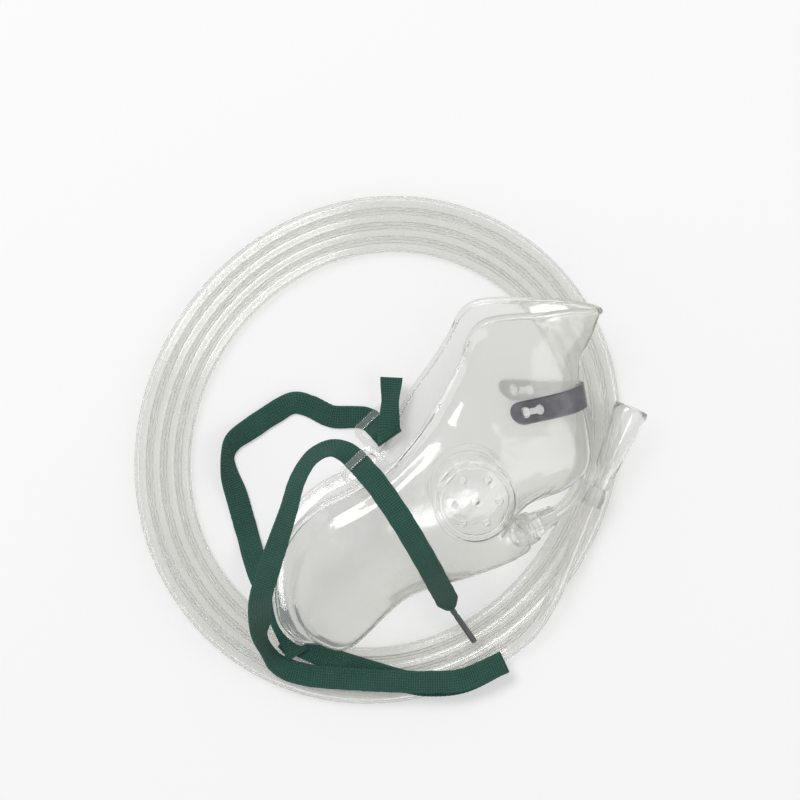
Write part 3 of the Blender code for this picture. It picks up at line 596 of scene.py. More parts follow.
def mask_surface():
    """The outer surface of the shell, as rows of stations from the rim to the port's collar."""
    rim, bridge = guide_ring(RIM), guide_ring(BRIDGE_RING)
    flange = rim + (bridge - rim) * FLANGE_RISE
    flange[:, 2] *= FLANGE_FLARE
    shaped = [rim, flange, bridge] + [guide_ring(ring) for ring in (CHEEK_RING, NOSE_RING, PORT_ROOT_RING)]
    rings = [np.array([skewed(*p) for p in ring]) for ring in shaped]
    rings.append(port_ring(*PORT_ROOT))
    rings += [port_ring(along, COLLAR_RADIUS) for along in COLLAR_REACH]
    stations = [catmull([ring[j] for ring in rings], ROWS_PER_RING) for j in range(2 * HALF_STATIONS)]
    surface = np.stack(stations, axis=1)
    upper = surface[..., 2] > MASK_MIDPLANE
    for middle, heading, half_length, half_width, depth in DENTS:
        away = surface[..., :2] - middle
        ahead = away @ heading
        aside = away @ (-heading[1], heading[0])
        surface[..., 2] -= upper * depth * np.exp(-((ahead / half_length) ** 2) - (aside / half_width) ** 2)
    return surface


def surface_normals(surface):
    along = np.gradient(surface, axis=0)
    around = np.roll(surface, -1, axis=1) - np.roll(surface, 1, axis=1)
    normals = np.cross(around, along)
    for _ in range(NORMAL_SMOOTHING):
        normals = unit(normals)
        normals[1:-1] = normals[:-2] + 2 * normals[1:-1] + normals[2:]
    normals = unit(normals)
    row, station = len(surface) // 3, HALF_STATIONS // 2
    outward = normals[row, station] @ (surface[row, station] - surface.mean(axis=(0, 1)))
    return normals * math.copysign(1, outward)


def outer_tree(surface):
    """The outer surface as a search tree in millimetres, for seating pieces on it."""
    faces = swept_faces(surface.shape[:2])
    return BVHTree.FromPolygons([Vector(p) for p in surface.reshape(-1, 3)], faces)


def mask_shell(surface):
    """Outer wall, rolled rim, inner wall and the collar's lip, as one closed skin."""
    wall, bead_radius = settings().mask.wall / MM, settings().mask.bead / MM
    normals = surface_normals(surface)
    angles = np.radians(np.linspace(-45, 225, BEAD_STEPS))
    sections = []
    for j in range(surface.shape[1]):
        outer, out = surface[:, j], normals[:, j]
        inner = outer - out * wall
        back = unit(outer[0] - outer[1])
        centre = (outer[0] + inner[0]) / 2 + back * bead_radius * BEAD_SET_BACK
        bead = [centre + bead_radius * (out[0] * math.cos(a) + back * math.sin(a)) for a in angles]
        sections.append([*outer[::-1], *bead, *inner])
    points = np.array(sections)
    return mesh_piece("mask_shell", points.reshape(-1, 3), swept_faces(points.shape[:2], closed=True))


def round_corners(obj, corner, free_end_only):
    """Rounds a block's upright edges, or only those at its far end, in edit mode."""
    bpy.ops.object.mode_set(mode="EDIT")
    bpy.ops.mesh.select_mode(type="EDGE")
    bpy.ops.mesh.select_all(action="DESELECT")
    shape = bmesh.from_edit_mesh(obj.data)
    for edge in shape.edges:
        a, b = (v.co for v in edge.verts)
        upright = abs(a.z - b.z) > abs(a.x - b.x) + abs(a.y - b.y)
        edge.select_set(upright and (not free_end_only or a.x > 0))
    bmesh.update_edit_mesh(obj.data)
    bpy.ops.mesh.bevel(offset=corner * MM, segments=LUG_CORNER_STEPS, affect="EDGES")
    bpy.ops.object.mode_set(mode="OBJECT")


def slotted_tab(root):
    """A lug: a flat tab with round corners at its free end and a slot."""
    tab = block(LUG_REACH + LUG_ROOT_DEPTH, LUG_WIDTH, LUG_THICKNESS, (LUG_REACH - LUG_ROOT_DEPTH) / 2)
    round_corners(tab, LUG_CORNER, free_end_only=True)
    slot = block(SLOT_WIDTH, SLOT_LENGTH, 4 * LUG_THICKNESS, SLOT_FROM_ROOT)
    round_corners(slot, SLOT_CORNER, free_end_only=False)
    combine(tab, slot, "DIFFERENCE")
    bevel_edges(tab, LUG_BEVEL, segments=3, angle=50)
    stand(tab, root, (0, 0, 1), LUG_OUT)
    return tab


def on_cheek(tree, side, u, v):
    """The place and outward normal on one cheek, u and v from the middle of its vent."""
    up = 1 if side == "near" else -1
    centre = skewed(*VENT_CENTRE, up * VENT_RISE)
    start = Vector((centre[0] + u, centre[1] + v, MASK_MIDPLANE + up * CHEEK_RAY_FROM))
    place, normal, _, _ = tree.ray_cast(start, Vector((0, 0, -up)))
    return place, normal if normal.z * up > 0 else -normal


def vent_rib(tree, side, radius):
    """A low round rib on the cheek, half sunk in the wall."""
    points = []
    for turn in round_turns(VENT_RIB_STEPS):
        aside = Vector((math.cos(turn), math.sin(turn), 0))
        place, normal = on_cheek(tree, side, *(aside.xy * radius))
        aside = (aside - normal * aside.dot(normal)).normalized()
        for a in round_turns(VENT_RIB_SIDES):
            points.append(place + (normal * math.cos(a) + aside * math.sin(a)) * VENT_RIB_RADIUS)
    faces = swept_faces((VENT_RIB_STEPS, VENT_RIB_SIDES), closed=True)
    return mesh_piece(f"{side}_vent_rib", points, faces)


def vent_cutters(tree):
    """Seven round cutters through each cheek: one in the middle and a circle round it."""
    turns = round_turns(VENT_CIRCLE_HOLES)
    circle = [(VENT_CIRCLE_RADIUS * math.cos(a), VENT_CIRCLE_RADIUS * math.sin(a)) for a in turns]
    return [
        round_cutter(VENT_HOLE_RADIUS, VENT_CUT_DEPTH, SMALL_SIDES, *on_cheek(tree, side, u, v))
        for side in ("near", "far")
        for u, v in [(0.0, 0.0), *circle]
    ]


def clip_rungs(tree, width):
    """The clip's two edges over the nose, seated on the shell, as pairs of points from near to far."""
    rungs = []
    for t in np.linspace(1, -1, CLIP_STATIONS):
        rise = CLIP_RISE * math.sin(t * math.pi / 2)
        aside = CLIP_NEAR_Y if t > 0 else CLIP_FAR_Y
        middle = CLIP_RIDGE_Y + (aside - CLIP_RIDGE_Y) * abs(rise) / CLIP_RISE
        pair = []
        for edge in (-0.5, 0.5):
            start = Vector((CLIP_RAY_FROM, middle + edge * width, MASK_MIDPLANE + rise))
            place, normal, _, _ = tree.ray_cast(start, Vector((-1, 0, 0)))
            normal = normal if normal.x > 0 else -normal
            pair.append(np.array(place + normal * CLIP_CLEARANCE))
        rungs.append(pair)
    rungs = np.array(rungs)
    for _ in range(CLIP_SMOOTHING):
        rungs[1:-1] = (rungs[:-2] + 2 * rungs[1:-1] + rungs[2:]) / 4
        for pair in rungs:
            for k, point in enumerate(pair):
                place, normal, _, _ = tree.find_nearest(Vector(point))
                normal = normal if normal.x > 0 else -normal
                short = CLIP_CLEARANCE - (Vector(point) - place).dot(normal)
                pair[k] = point + np.array(normal) * max(short, 0)
    return rungs


def clip_frames(tree):
    """The clip's middle line with its width direction, heading, outward normal and distance along it."""
    width = settings().clip.width / MM
    rungs = clip_rungs(tree, width)
    line = np.hstack([rungs[:, 0], rungs[:, 1]])
    length = run_lengths(line[:, :3] / 2 + line[:, 3:] / 2)[-1]
    ends = width / 2 * (1 - np.cos(np.linspace(CLIP_END_FROM, math.pi / 2, CLIP_END_STEPS)))
    straight = np.linspace(width / 2, length - width / 2, CLIP_STEPS)[1:-1]
    wanted = np.r_[ends, straight, length - ends[::-1]]
    line = at_lengths(line, wanted * (run_lengths(line)[-1] / length))
    low, high = line[:, :3], line[:, 3:]
    middle = (low + high) / 2
    across = unit(high - low)
    along = unit(np.gradient(middle, wanted, axis=0))
    normal = unit(np.cross(across, along))
    normal *= math.copysign(1, normal[len(normal) // 2, 0])
    return middle, across, along, normal, wanted


def keyhole_places(frames):
    """Where each keyhole's larger lobe is: the place, the normal and the way to its smaller lobe."""
    middle, _, along, normal, travelled = frames
    for way, at in ((1, KEYHOLE_FROM_END), (-1, travelled[-1] - KEYHOLE_FROM_END)):
        k = int(np.abs(travelled - at).argmin())
        yield middle[k], normal[k], along[k] * way


def studs(tree):
    """The two pegs on the shell that the clip's slots go over, each with a domed head."""
    rise = settings().clip.thickness / MM / 2 + STUD_RISE
    profile = [(-STUD_ROOT, STUD_RADIUS * STUD_HEAD[0][1])]
    profile += [(rise + at, STUD_RADIUS * part) for at, part in STUD_HEAD]
    made = []
    for place, normal, way in keyhole_places(clip_frames(tree)):
        made.append(turned("stud", profile, SMALL_SIDES, hollow=False))
        stand(made[-1], place, normal, way)
    return made


def cut_keyhole(strip, place, normal, way):
    """Cuts a double keyhole: a larger lobe, a smaller one and the neck between them."""
    for radius, at in zip(KEYHOLE_RADII, (0.0, KEYHOLE_SPACING), strict=True):
        lobe = round_cutter(radius, KEYHOLE_CUT_DEPTH, KEYHOLE_SIDES, place + way * at, normal, way)
        combine(strip, lobe, "DIFFERENCE")
    neck = block(KEYHOLE_SPACING, KEYHOLE_NECK, KEYHOLE_CUT_DEPTH)
    stand(neck, place + way * KEYHOLE_SPACING / 2, normal, way)
    combine(strip, neck, "DIFFERENCE")


def mark_inner_face(strip, frames):
    """A face attribute that is 1 on the side of the strip that lies against the mask."""
    middle, _, _, normal, _ = frames
    places = to_frame(middle)
    mark = strip.data.attributes.new(INNER_FACE, "FLOAT", "FACE")
    for face in strip.data.polygons:
        k = int(np.linalg.norm(places - np.array(face.center), axis=1).argmin())
        mark.data[face.index].value = 1.0 if face.normal.dot(Vector(normal[k])) < -0.5 else 0.0


def leg_frames(leg, flip, width):
    """Even steps along one leg of the strap, each [left edge, right edge, normal, heading]."""
    curve = catmull(leg, CURVE_SAMPLES)
    samples = even(curve, max(4, round(run_lengths(curve[:, :3])[-1] / STRAP_STEP)))
    middle, roll = samples[:, :3], np.radians(samples[:, 3:])
    along = unit(np.gradient(middle, axis=0))
    level = unit(np.stack([-along[:, 1], along[:, 0], np.zeros(len(along))], axis=1))
    upright = np.cross(along, level)
    left = level * np.cos(roll) + upright * np.sin(roll)
    normal = upright * np.cos(roll) - level * np.sin(roll)
    return [
        [p + flip * a * width / 2, p - flip * a * width / 2, flip * n, t]
        for p, a, n, t in zip(middle, left, normal, along, strict=True)
    ]


def trimmed(frames, crease_left, crease_right, at_end):
    """The leg's frames with those next to a fold fanned round to the crease."""
    crease = (crease_left + crease_right) / 2
    ordered = frames if at_end else frames[::-1]
    reach = abs((crease_left - crease_right) @ ordered[-1][3]) / 2 + FOLD_MARGIN
    kept = [f for f in ordered if np.linalg.norm((f[0] + f[1])[:2] / 2 - crease[:2]) > reach]
    left, right, normal, heading = kept[-1]
    steps = max(1, round(reach / STRAP_STEP))
    for t in np.arange(1, steps) / steps:
        kept.append([left + (crease_left - left) * t, right + (crease_right - right) * t, normal, heading])
    return kept if at_end else kept[::-1]


def fold_frames(before, after, flip, width):
    """The crease between two legs: the frames round its small bend."""
    arrive, leave = (unit(f[3] * (1, 1, 0)) for f in (before[-1], after[0]))
    left = np.array([-arrive[1], arrive[0], 0])
    crease = arrive + leave
    crease = left if np.linalg.norm(crease) < 0.05 else unit(crease)
    crease = crease * math.copysign(1, crease @ left * flip)
    half = width / 2 / abs(crease @ left)
    outward = unit(arrive - crease * (arrive @ crease))
    start = (before[-1][0] + before[-1][1]) / 2
    rise = (after[0][0] + after[0][1])[2] / 2 - start[2]
    up = np.array([0, 0, 1.0])
    frames = []
    for angle in np.linspace(0, math.pi, FOLD_STEPS):
        centre = start + outward * abs(rise) / 2 * math.sin(angle) + up * rise / 2 * (1 - math.cos(angle))
        normal = flip * (up * math.cos(angle) - math.copysign(1, rise) * outward * math.sin(angle))
        frames.append([centre + crease * half, centre - crease * half, normal, arrive])
    return frames


def strap_frames(width):
    """The strap's frames from its sewn end to its tip, with a flat fold between one leg and the next."""
    flips = [(-1) ** k for k in range(len(STRAP_LEGS))]
    legs = [leg_frames(leg, flip, width) for leg, flip in zip(STRAP_LEGS, flips, strict=True)]
    frames = legs[0]
    for k in range(1, len(legs)):
        fold = fold_frames(legs[k - 1], legs[k], flips[k - 1], width)
        frames = trimmed(frames, fold[0][0], fold[0][1], True) + fold
        frames += trimmed(legs[k], fold[-1][0], fold[-1][1], False)
    return frames


def strap_mesh(name, width, thickness, weave):
    """The woven band: a flat section with soft edges and fine ribs, growing round and narrow at its tip."""
    frames = strap_frames(width)
    middle = np.array([(f[0] + f[1]) / 2 for f in frames])
    spread = np.array([(f[0] - f[1]) / 2 for f in frames])
    half = np.linalg.norm(spread, axis=1)
    across = spread / half[:, None]
    normal = np.array([f[2] for f in frames])
    travelled = run_lengths(middle)
    to_end = travelled[-1] - travelled
    taper = np.clip(to_end / TAPER_LENGTH, 0, 1) ** TAPER_POWER
    half = np.where(to_end < TAPER_LENGTH, TAPER_WIDTH / 2 + (half - TAPER_WIDTH / 2) * taper, half)
    thick = (TAPER_THICKNESS + (thickness - TAPER_THICKNESS) * taper) / 2
    ribs = WEAVE_RIB * np.sin(travelled / weave * 2 * math.pi)
    flat = np.linspace(-STRAP_FLAT, STRAP_FLAT, STRAP_COLUMNS)
    upper = [(c, 1.0) for c in flat] + STRAP_EDGE
    outline = upper + [(-c, -h) for c, h in upper]
    points, uv = [], []
    for p, a, n, w, t, s, r in zip(middle, across, normal, half, thick, travelled, ribs, strict=True):
        points += [p + a * (w + r * (abs(c) > STRAP_FLAT)) * c + n * t * h for c, h in outline]
        uv += [(w * c, s) for c, _ in outline]
    size, last = len(outline), len(outline) * (len(middle) - 1)
    faces = swept_faces((len(middle), size)) + [tuple(range(size)), tuple(range(last, last + size))[::-1]]
    return mesh_piece(name, points, faces, uv)


def coil_middle(turn):
    """The radius of the coil's middle line, which is a little out of round."""
    (once_x, once_y), (twice_x, twice_y) = COIL_WAVES
    once = once_x * math.cos(turn) + once_y * math.sin(turn)
    return COIL_MIDDLE + once + twice_x * math.cos(2 * turn) + twice_y * math.sin(2 * turn)


def tube_route():
    """The tube's centre line: from the mask, round the coil from its inside out, to the end connector."""
    start_turn = math.atan2(START_ROUTE[-1][1], START_ROUTE[-1][0])
    start_radius = math.hypot(*START_ROUTE[-1][:2])
    end_turn = math.atan2(END_ROUTE[0][1], END_ROUTE[0][0]) + 2 * math.pi * COIL_WHOLE_TURNS
    coil = []
    steps = round((end_turn - start_turn) / (2 * math.pi) * COIL_STEPS_PER_TURN)
    for turn in np.linspace(start_turn, end_turn, steps + 1)[1:-1]:
        outwards = COIL_PITCH * max(turn - COIL_LANE_FROM, 0) / (2 * math.pi)
        lane = coil_middle(turn) + min(outwards - COIL_SPREAD, COIL_SPREAD)
        height = COIL_HEIGHT
        if turn < COIL_LANE_FROM:
            part = (turn - start_turn) / (COIL_LANE_FROM - start_turn)
            lane += (start_radius - lane) * (1 - smooth_step(part / LANE_REACHED_AT))
            height += (START_ROUTE[-1][2] - COIL_HEIGHT) * (1 - math.sin(part * math.pi / 2))
        coil.append((lane * math.cos(turn), lane * math.sin(turn), height))
    route = catmull(START_ROUTE + coil + END_ROUTE, ROUTE_SAMPLES)
    return even(route, round(run_lengths(route)[-1] / TUBE_STEP))


def tube_mesh(name, line, radius, bore):
    """A hollow tube along the line. The bore has low ridges along it, which keep it open where it bends.

    Its attribute along_tube is each point's place across the tube and distance along it, in metres.
    """
    along = unit(np.gradient(line, axis=0))
    side = unit(np.cross(along[0], (0.0, 0.0, 1.0)))
    turns = round_turns(TUBE_SIDES)
    circle = np.stack([np.cos(turns), np.sin(turns)], axis=1)
    ridged = bore - LUMEN_RIDGE_HEIGHT * (1 + np.cos(turns * LUMEN_RIDGES)) / 2
    walls = (circle * radius, circle * ridged[:, None])
    rings, patterns = ([], []), ([], [])
    for middle, heading, travelled in zip(line, along, run_lengths(line), strict=True):
        side = unit(side - heading * (side @ heading))
        axes = np.stack([side, np.cross(heading, side)])
        for wall, ring, pattern in zip(walls, rings, patterns, strict=True):
            ring.append(middle + wall @ axes)
            pattern.append(np.column_stack([wall, np.full(TUBE_SIDES, travelled)]))
    points, along_tube = (np.vstack(outside + inside[::-1]) for outside, inside in (rings, patterns))
    tube = mesh_piece(name, points, swept_faces((2 * len(line), TUBE_SIDES), closed=True))
    attribute = tube.data.attributes.new(ALONG_TUBE, "FLOAT_VECTOR", "POINT")
    attribute.data.foreach_set("vector", (along_tube * MM).ravel())
    return tube


def feed(node, inputs):
    """Links or sets a node's inputs, given by name or number. A colour is given as red, green and blue."""
    for name, value in inputs.items():
        socket = node.inputs[name]
        if isinstance(value, bpy.types.NodeSocket):
            node.id_data.links.new(value, socket)
        else:
            socket.default_value = (*value, 1.0) if socket.type == "RGBA" else value
    return node


def add_node(tree, kind, inputs=None, **settings_of_node):
    """A new shader node, with its settings made and its inputs linked or set."""
    node = tree.nodes.new("ShaderNode" + kind)
    for name, value in settings_of_node.items():
        setattr(node, name, value)
    return feed(node, inputs or {})


def noise(place, scale, detail=2.0, roughness=0.5):
    inputs = {"Vector": place, "Scale": scale, "Detail": detail, "Roughness": roughness}
    return add_node(place.id_data, "TexNoise", inputs).outputs["Fac"]


def scaled(value, low, high, from_low=0.0, from_high=1.0):
    """The value mapped from one range to another."""
    inputs = {"Value": value, "From Min": from_low, "From Max": from_high, "To Min": low, "To Max": high}
    return add_node(value.id_data, "MapRange", inputs).outputs["Result"]


def blended(factor, first, second):
    """A colour between the two, which may be colours or sockets."""
    inputs = {"Factor": factor, 6: first, 7: second}
    return add_node(factor.id_data, "Mix", inputs, data_type="RGBA").outputs[2]


def calculated(operation, *values):
    """The result of a Math node. Its first value is a socket."""
    inputs = dict(enumerate(values))
    return add_node(values[0].id_data, "Math", inputs, operation=operation).outputs["Value"]


def bumped(height, distance, strength=1.0):
    """The surface's normal over a height pattern."""
    inputs = {"Height": height, "Distance": distance, "Strength": strength}
    return add_node(height.id_data, "Bump", inputs).outputs["Normal"]


def stretched(place, scale):
    return add_node(place.id_data, "Mapping", {"Vector": place, "Scale": scale}).outputs["Vector"]


def own_place(tree):
    return add_node(tree, "TexCoord").outputs["Object"]


def own_map(tree):
    return add_node(tree, "UVMap", uv_map=SURFACE_MAP).outputs["UV"]


def off_middle(uv, across):
    """The distance from a strip's middle line, from its UV map in millimetres."""
    return calculated("ABSOLUTE", add_node(uv.id_data, "SeparateXYZ", {"Vector": uv}).outputs[across])


def times(colour, part):
    return tuple(c * part for c in colour)


def new_finish(name):
    """A new material, with its node tree and its Principled shader."""
    finish = bpy.data.materials.new(name)
    finish.use_nodes = True
    return finish, finish.node_tree, finish.node_tree.nodes["Principled BSDF"]


def moulded_surface():
    """A node group for clear plastic: slow ripples from the mould or the die, and an uneven gloss."""
    if MOULDED in bpy.data.node_groups:
        return bpy.data.node_groups[MOULDED]
    group = bpy.data.node_groups.new(MOULDED, "ShaderNodeTree")
    group.interface.new_socket("Place", in_out="INPUT", socket_type="NodeSocketVector")
    for way, names in (("INPUT", ("Ripple Scale", "Gloss", "Haze")), ("OUTPUT", ("Roughness", "Height"))):
        for name in names:
            group.interface.new_socket(name, in_out=way, socket_type="NodeSocketFloat")
    given = group.nodes.new("NodeGroupInput").outputs
    cloud = noise(given["Place"], CLOUD_SCALE, detail=4.0)
    feed(group.nodes.new("NodeGroupOutput"), {
        "Roughness": scaled(cloud, given["Gloss"], given["Haze"]),
        "Height": noise(given["Place"], given["Ripple Scale"]),
    })
    return group


def clear_plastic(name, colour, edge, shade, ripple, depth, gloss, haze, clearness, ior=1.5, drawn_out=False):
    """A clear plastic: tinted where its wall is seen edge on, and letting the lamps' light through.

    A piece drawn out through a die has its ripples as long lines, along its attribute along_tube.
    """
    finish, tree, shader = new_finish(name)
    if drawn_out:
        along = add_node(tree, "Attribute", attribute_name=ALONG_TUBE).outputs["Vector"]
        place = stretched(along, (1.0, 1.0, DIE_LINE_STRETCH))
    else:
        place = own_place(tree)
    given = {"Place": place, "Ripple Scale": ripple, "Gloss": gloss, "Haze": haze}
    surface = add_node(tree, "Group", given, node_tree=moulded_surface()).outputs
    facing = add_node(tree, "LayerWeight", {"Blend": 0.35}).outputs["Facing"]
    feed(shader, {
        "Base Color": blended(facing, colour, edge),
        "Roughness": surface["Roughness"],
        "Normal": bumped(surface["Height"], depth),
        "Transmission Weight": clearness,
        "IOR": ior,
    })
    passing = add_node(tree, "BsdfTransparent", {"Color": blended(facing, *shade)}).outputs["BSDF"]
    path = add_node(tree, "LightPath").outputs
    lit = calculated("MAXIMUM", path["Is Shadow Ray"], path["Is Diffuse Ray"])
    choice = add_node(tree, "MixShader", {"Fac": lit, 1: shader.outputs["BSDF"], 2: passing})
    feed(tree.nodes["Material Output"], {"Surface": choice.outputs["Shader"]})
    return finish


def clear_pvc():
    values = settings().mask
    shade = ((0.972, 0.972, 0.968), (0.74, 0.74, 0.73))
    return clear_plastic(
        "clear_pvc", values.colour, values.edge, shade, ripple=70.0, depth=0.0004, gloss=0.05, haze=0.16,
        clearness=0.93,
    )


def clear_tubing():
    values = settings().tubing
    shade = ((0.95, 0.955, 0.94), (0.72, 0.73, 0.70))
    return clear_plastic(
        "clear_tubing", values.colour, values.edge, shade, ripple=1400.0, depth=0.00005, gloss=0.04,
        haze=0.12, clearness=0.9, drawn_out=True,
    )


def clear_connector():
    colour = settings().connectors.colour
    shade = ((0.975, 0.975, 0.97), (0.78, 0.78, 0.77))
    return clear_plastic(
        "clear_connector", colour, times(colour, 0.88), shade, ripple=90.0, depth=0.00004, gloss=0.02,
        haze=0.05, clearness=0.93, ior=1.58,
    )


def aluminium():
    """Brushed strip: fine lines along it, dark outside. Against the mask it is painted pale for the light it
    reflects, with a painted highlight along its edges, and painted darker patches on both faces stand for
    uneven reflection.
    """
    values = settings().clip
    finish, tree, shader = new_finish("aluminium")
    along = own_map(tree)
    brushed = noise(stretched(along, (0.12, 6.0, 1.0)), 2.2, detail=6.0, roughness=0.7)
    # Painted shade: random darker patches on both faces stand for uneven reflection.
    cloud = scaled(noise(own_place(tree), 70.0, detail=5.0), 0.0, 0.9, 0.4, 0.62)
    inner_face = add_node(tree, "Attribute", attribute_name=INNER_FACE).outputs["Fac"]
    half = values.width / MM / 2
    # Painted highlight: a brighter band along both long edges of the inner face.
    rim = scaled(off_middle(along, "Y"), 0.0, 1.0, half - 0.8, half - 0.2)
    pale = blended(rim, values.inner_reflection_colour, times(values.inner_reflection_colour, 1.3))
    metal = blended(inner_face, values.colour, pale)
    painted_dark_patches = blended(inner_face, times(values.colour, 0.5), times(values.inner_reflection_colour, 0.84))
    feed(shader, {
        "Base Color": blended(cloud, metal, painted_dark_patches),
        "Metallic": 1.0,
        "Roughness": scaled(brushed, 0.2, 0.46, 0.3, 0.7),
        "Normal": bumped(brushed, 0.00005, 0.35),
    })
    return finish


def green_elastic():
    """Woven elastic: cross ribs over rubber cords that run along it, and paler yarn at the edges."""
    values = settings().strap
    finish, tree, shader = new_finish("green_elastic")
    uv = own_map(tree)
    pitch, half = values.weave / MM, values.width / MM / 2

    def ribs(direction, distance, distortion):
        inputs = {"Vector": uv, "Scale": math.pi / 10 / distance, "Distortion": distortion}
        inputs |= {"Detail": 1.0, "Detail Scale": 1.5}
        return add_node(tree, "TexWave", inputs, wave_type="BANDS", bands_direction=direction).outputs["Fac"]

    cords = scaled(ribs("X", 1.1 * pitch, 0.4), 0.0, 0.4)
    height = calculated("MULTIPLY_ADD", ribs("Y", pitch, 0.8), 0.6, cords)
    yarn = blended(scaled(height, 0.0, 0.75, 0.15, 0.85), values.colour, values.light)
    edge = scaled(off_middle(uv, "X"), 0.0, 0.45, half - 0.9, half)
    worn = scaled(noise(uv, 0.11, detail=3.0), 0.0, 0.35, 0.45, 0.8)
    shadow = scaled(noise(uv, 5.0, detail=4.0), 0.0, 0.4, 0.5, 0.9)
    faded = blended(worn, blended(edge, yarn, values.light), values.light)
    feed(shader, {
        "Base Color": blended(shadow, faded, times(values.colour, 0.45)),
        "Roughness": 0.85,
        "Sheen Weight": 0.12,
        "Sheen Roughness": 0.5,
        "Normal": bumped(height, 0.0003),
    })
    return finish


def crimped_tip():
    """Dark wrapped tip with a fine worn speckle."""
    colour = settings().connectors.tip_colour
    finish, tree, shader = new_finish("crimped_tip")
    speckle = noise(own_place(tree), 900.0, detail=3.0)
    feed(shader, {
        "Base Color": blended(scaled(speckle, 0.0, 0.6, 0.45, 0.8), colour, times(colour, 2.2)),
        "Roughness": scaled(speckle, 0.3, 0.5),
        "Normal": bumped(speckle, 0.00006, 0.5),
    })
    return finish


def seen_rays(tree):
    """1 for camera, glossy and transmission rays, else 0."""
    path = add_node(tree, "LightPath").outputs
    mirrored = calculated("MAXIMUM", path["Is Glossy Ray"], path["Is Transmission Ray"])
    return calculated("MAXIMUM", path["Is Camera Ray"], mirrored)


def white_table():
    """A pale table that keeps its shadows, and looks white to the camera and in glass and metal."""
    values = settings().stage
    finish, tree, shader = new_finish("white_table")
    feed(shader, {
        "Base Color": values.floor,
        "Roughness": 0.7,
        "Specular IOR Level": 0.1,
        "Emission Color": WHITE,
        "Emission Strength": scaled(seen_rays(tree), 0.0, values.glow),
    })
    return finish


def soft_world():
    """Pale light from all round: white low down and greyer overhead, as in a room with a lit table."""
    world = bpy.data.worlds.new("soft_room")
    bpy.context.scene.world = world
    world.use_nodes = True
    tree = world.node_tree
    way = add_node(tree, "TexCoord").outputs["Generated"]
    height = scaled(add_node(tree, "SeparateXYZ", {"Vector": way}).outputs["Z"], 0.0, 1.0, -0.1, 0.9)
    feed(tree.nodes["Background"], {
        "Color": blended(height, WHITE, (0.52, 0.52, 0.53)),
        "Strength": scaled(seen_rays(tree), settings().stage.sky, 1.0),
    })


def area_light(name, place, size, target, power):
    data = bpy.data.lights.new(name, "AREA")
    data.shape = "RECTANGLE"
    data.size, data.size_y = size
    data.energy = power
    lamp = bpy.data.objects.new(name, data)
    bpy.context.scene.collection.objects.link(lamp)
    lamp.location = place
    lamp.rotation_euler = (Vector(target) - Vector(place)).to_track_quat("-Z", "Y").to_euler()


class OXYGENMASK_OT_stage(Operator):
    """Adds the table, the lamps and the camera"""

    bl_idname = "oxygen_mask.stage"
    bl_label = "Stage"

    def execute(self, context):
        values = settings().stage
        middle = Vector(to_frame(VIEW_CENTRE))
        camera = bpy.data.objects.new("camera", bpy.data.cameras.new("camera"))
        context.scene.collection.objects.link(camera)
        camera.location = middle + Vector((0, 0, VIEW_DISTANCE * MM))
        camera.data.sensor_width = SENSOR_WIDTH
        camera.data.lens = SENSOR_WIDTH * VIEW_DISTANCE / VIEW_WIDTH
        camera.data.clip_start = CLIP_START
        context.scene.camera = camera
        deselect()
        bpy.ops.mesh.primitive_plane_add(size=TABLE_SIZE, location=(0, 0, -TABLE_DROP))
        table = context.active_object
        table.name = "table"
        table.data.materials.append(white_table())
        soft_world()
        area_light("key_light", *KEY_LAMP, middle, values.key)
        area_light("fill_light", *FILL_LAMP, middle, values.fill)
        context.scene.view_settings.view_transform = "Standard"
        for kind, count in LIGHT_BOUNCES.items():
            setattr(context.scene.cycles, kind, count)
        return {"FINISHED"}


class OXYGENMASK_OT_connectors(Operator):
    """Turns the spigot in the mask's port and the funnel at the far end of the tubing"""

    bl_idname = "oxygen_mask.connectors"
    bl_label = "Connectors"

    def execute(self, context):
        sides = settings().connectors.sides
        centre, axis, nose, _ = port_frame()
        finish = clear_connector()
        inlet = turned("inlet_spigot", INLET_OUTER + INLET_INNER, sides)
        stand(inlet, centre, axis, nose)
        start = Vector(END_CONNECTOR_ROOT)
        end_axis = (Vector(END_CONNECTOR_MOUTH) - start).normalized()
        funnel = turned("end_funnel", END_OUTER + END_INNER, sides)
        stand(funnel, start + end_axis * END_GAP, end_axis)
        for piece, node in ((inlet, "inlet_connector"), (funnel, "end_connector")):
            bevel_edges(piece, CONNECTOR_BEVEL, segments=2, angle=35)
            finish_piece(piece, finish, [node])
        return {"FINISHED"}


class OXYGENMASK_OT_tubing(Operator):
    """Winds the clear tube from the mask round the coil to its end connector"""

    bl_idname = "oxygen_mask.tubing"
    bl_label = "Tubing"

    def execute(self, context):
        values = settings().tubing
        line = tube_route()
        tube = tube_mesh("oxygen_tube", line, values.diameter / MM / 2, values.bore / MM / 2)
        nodes = ["oxygen_tube_start", "tubing_coil", "oxygen_tube_end"]
        finish_piece(tube, clear_tubing(), nodes, angle=60)
        path = [tuple(p) for p in to_frame(line)]
        length = run_lengths(to_frame(line))[-1]
        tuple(path[0])
        return {"FINISHED"}


class OXYGENMASK_OT_mask(Operator):
    """Moulds the clear shell with its rim, port collar, lugs, studs and vents"""

    bl_idname = "oxygen_mask.mask"
    bl_label = "Mask"

    def execute(self, context):
        surface = mask_surface()
        tree = outer_tree(surface)
        shell = mask_shell(surface)
        added = [slotted_tab(root) for root in LUG_ROOTS] + studs(tree)
        added += [vent_rib(tree, side, radius) for side in ("near", "far") for radius in VENT_PANEL_RADII]
        combine(shell, joined(added), "UNION")
        combine(shell, joined(vent_cutters(tree)), "DIFFERENCE")
        finish_piece(shell, clear_pvc(), ["mask_body"])
        return {"FINISHED"}


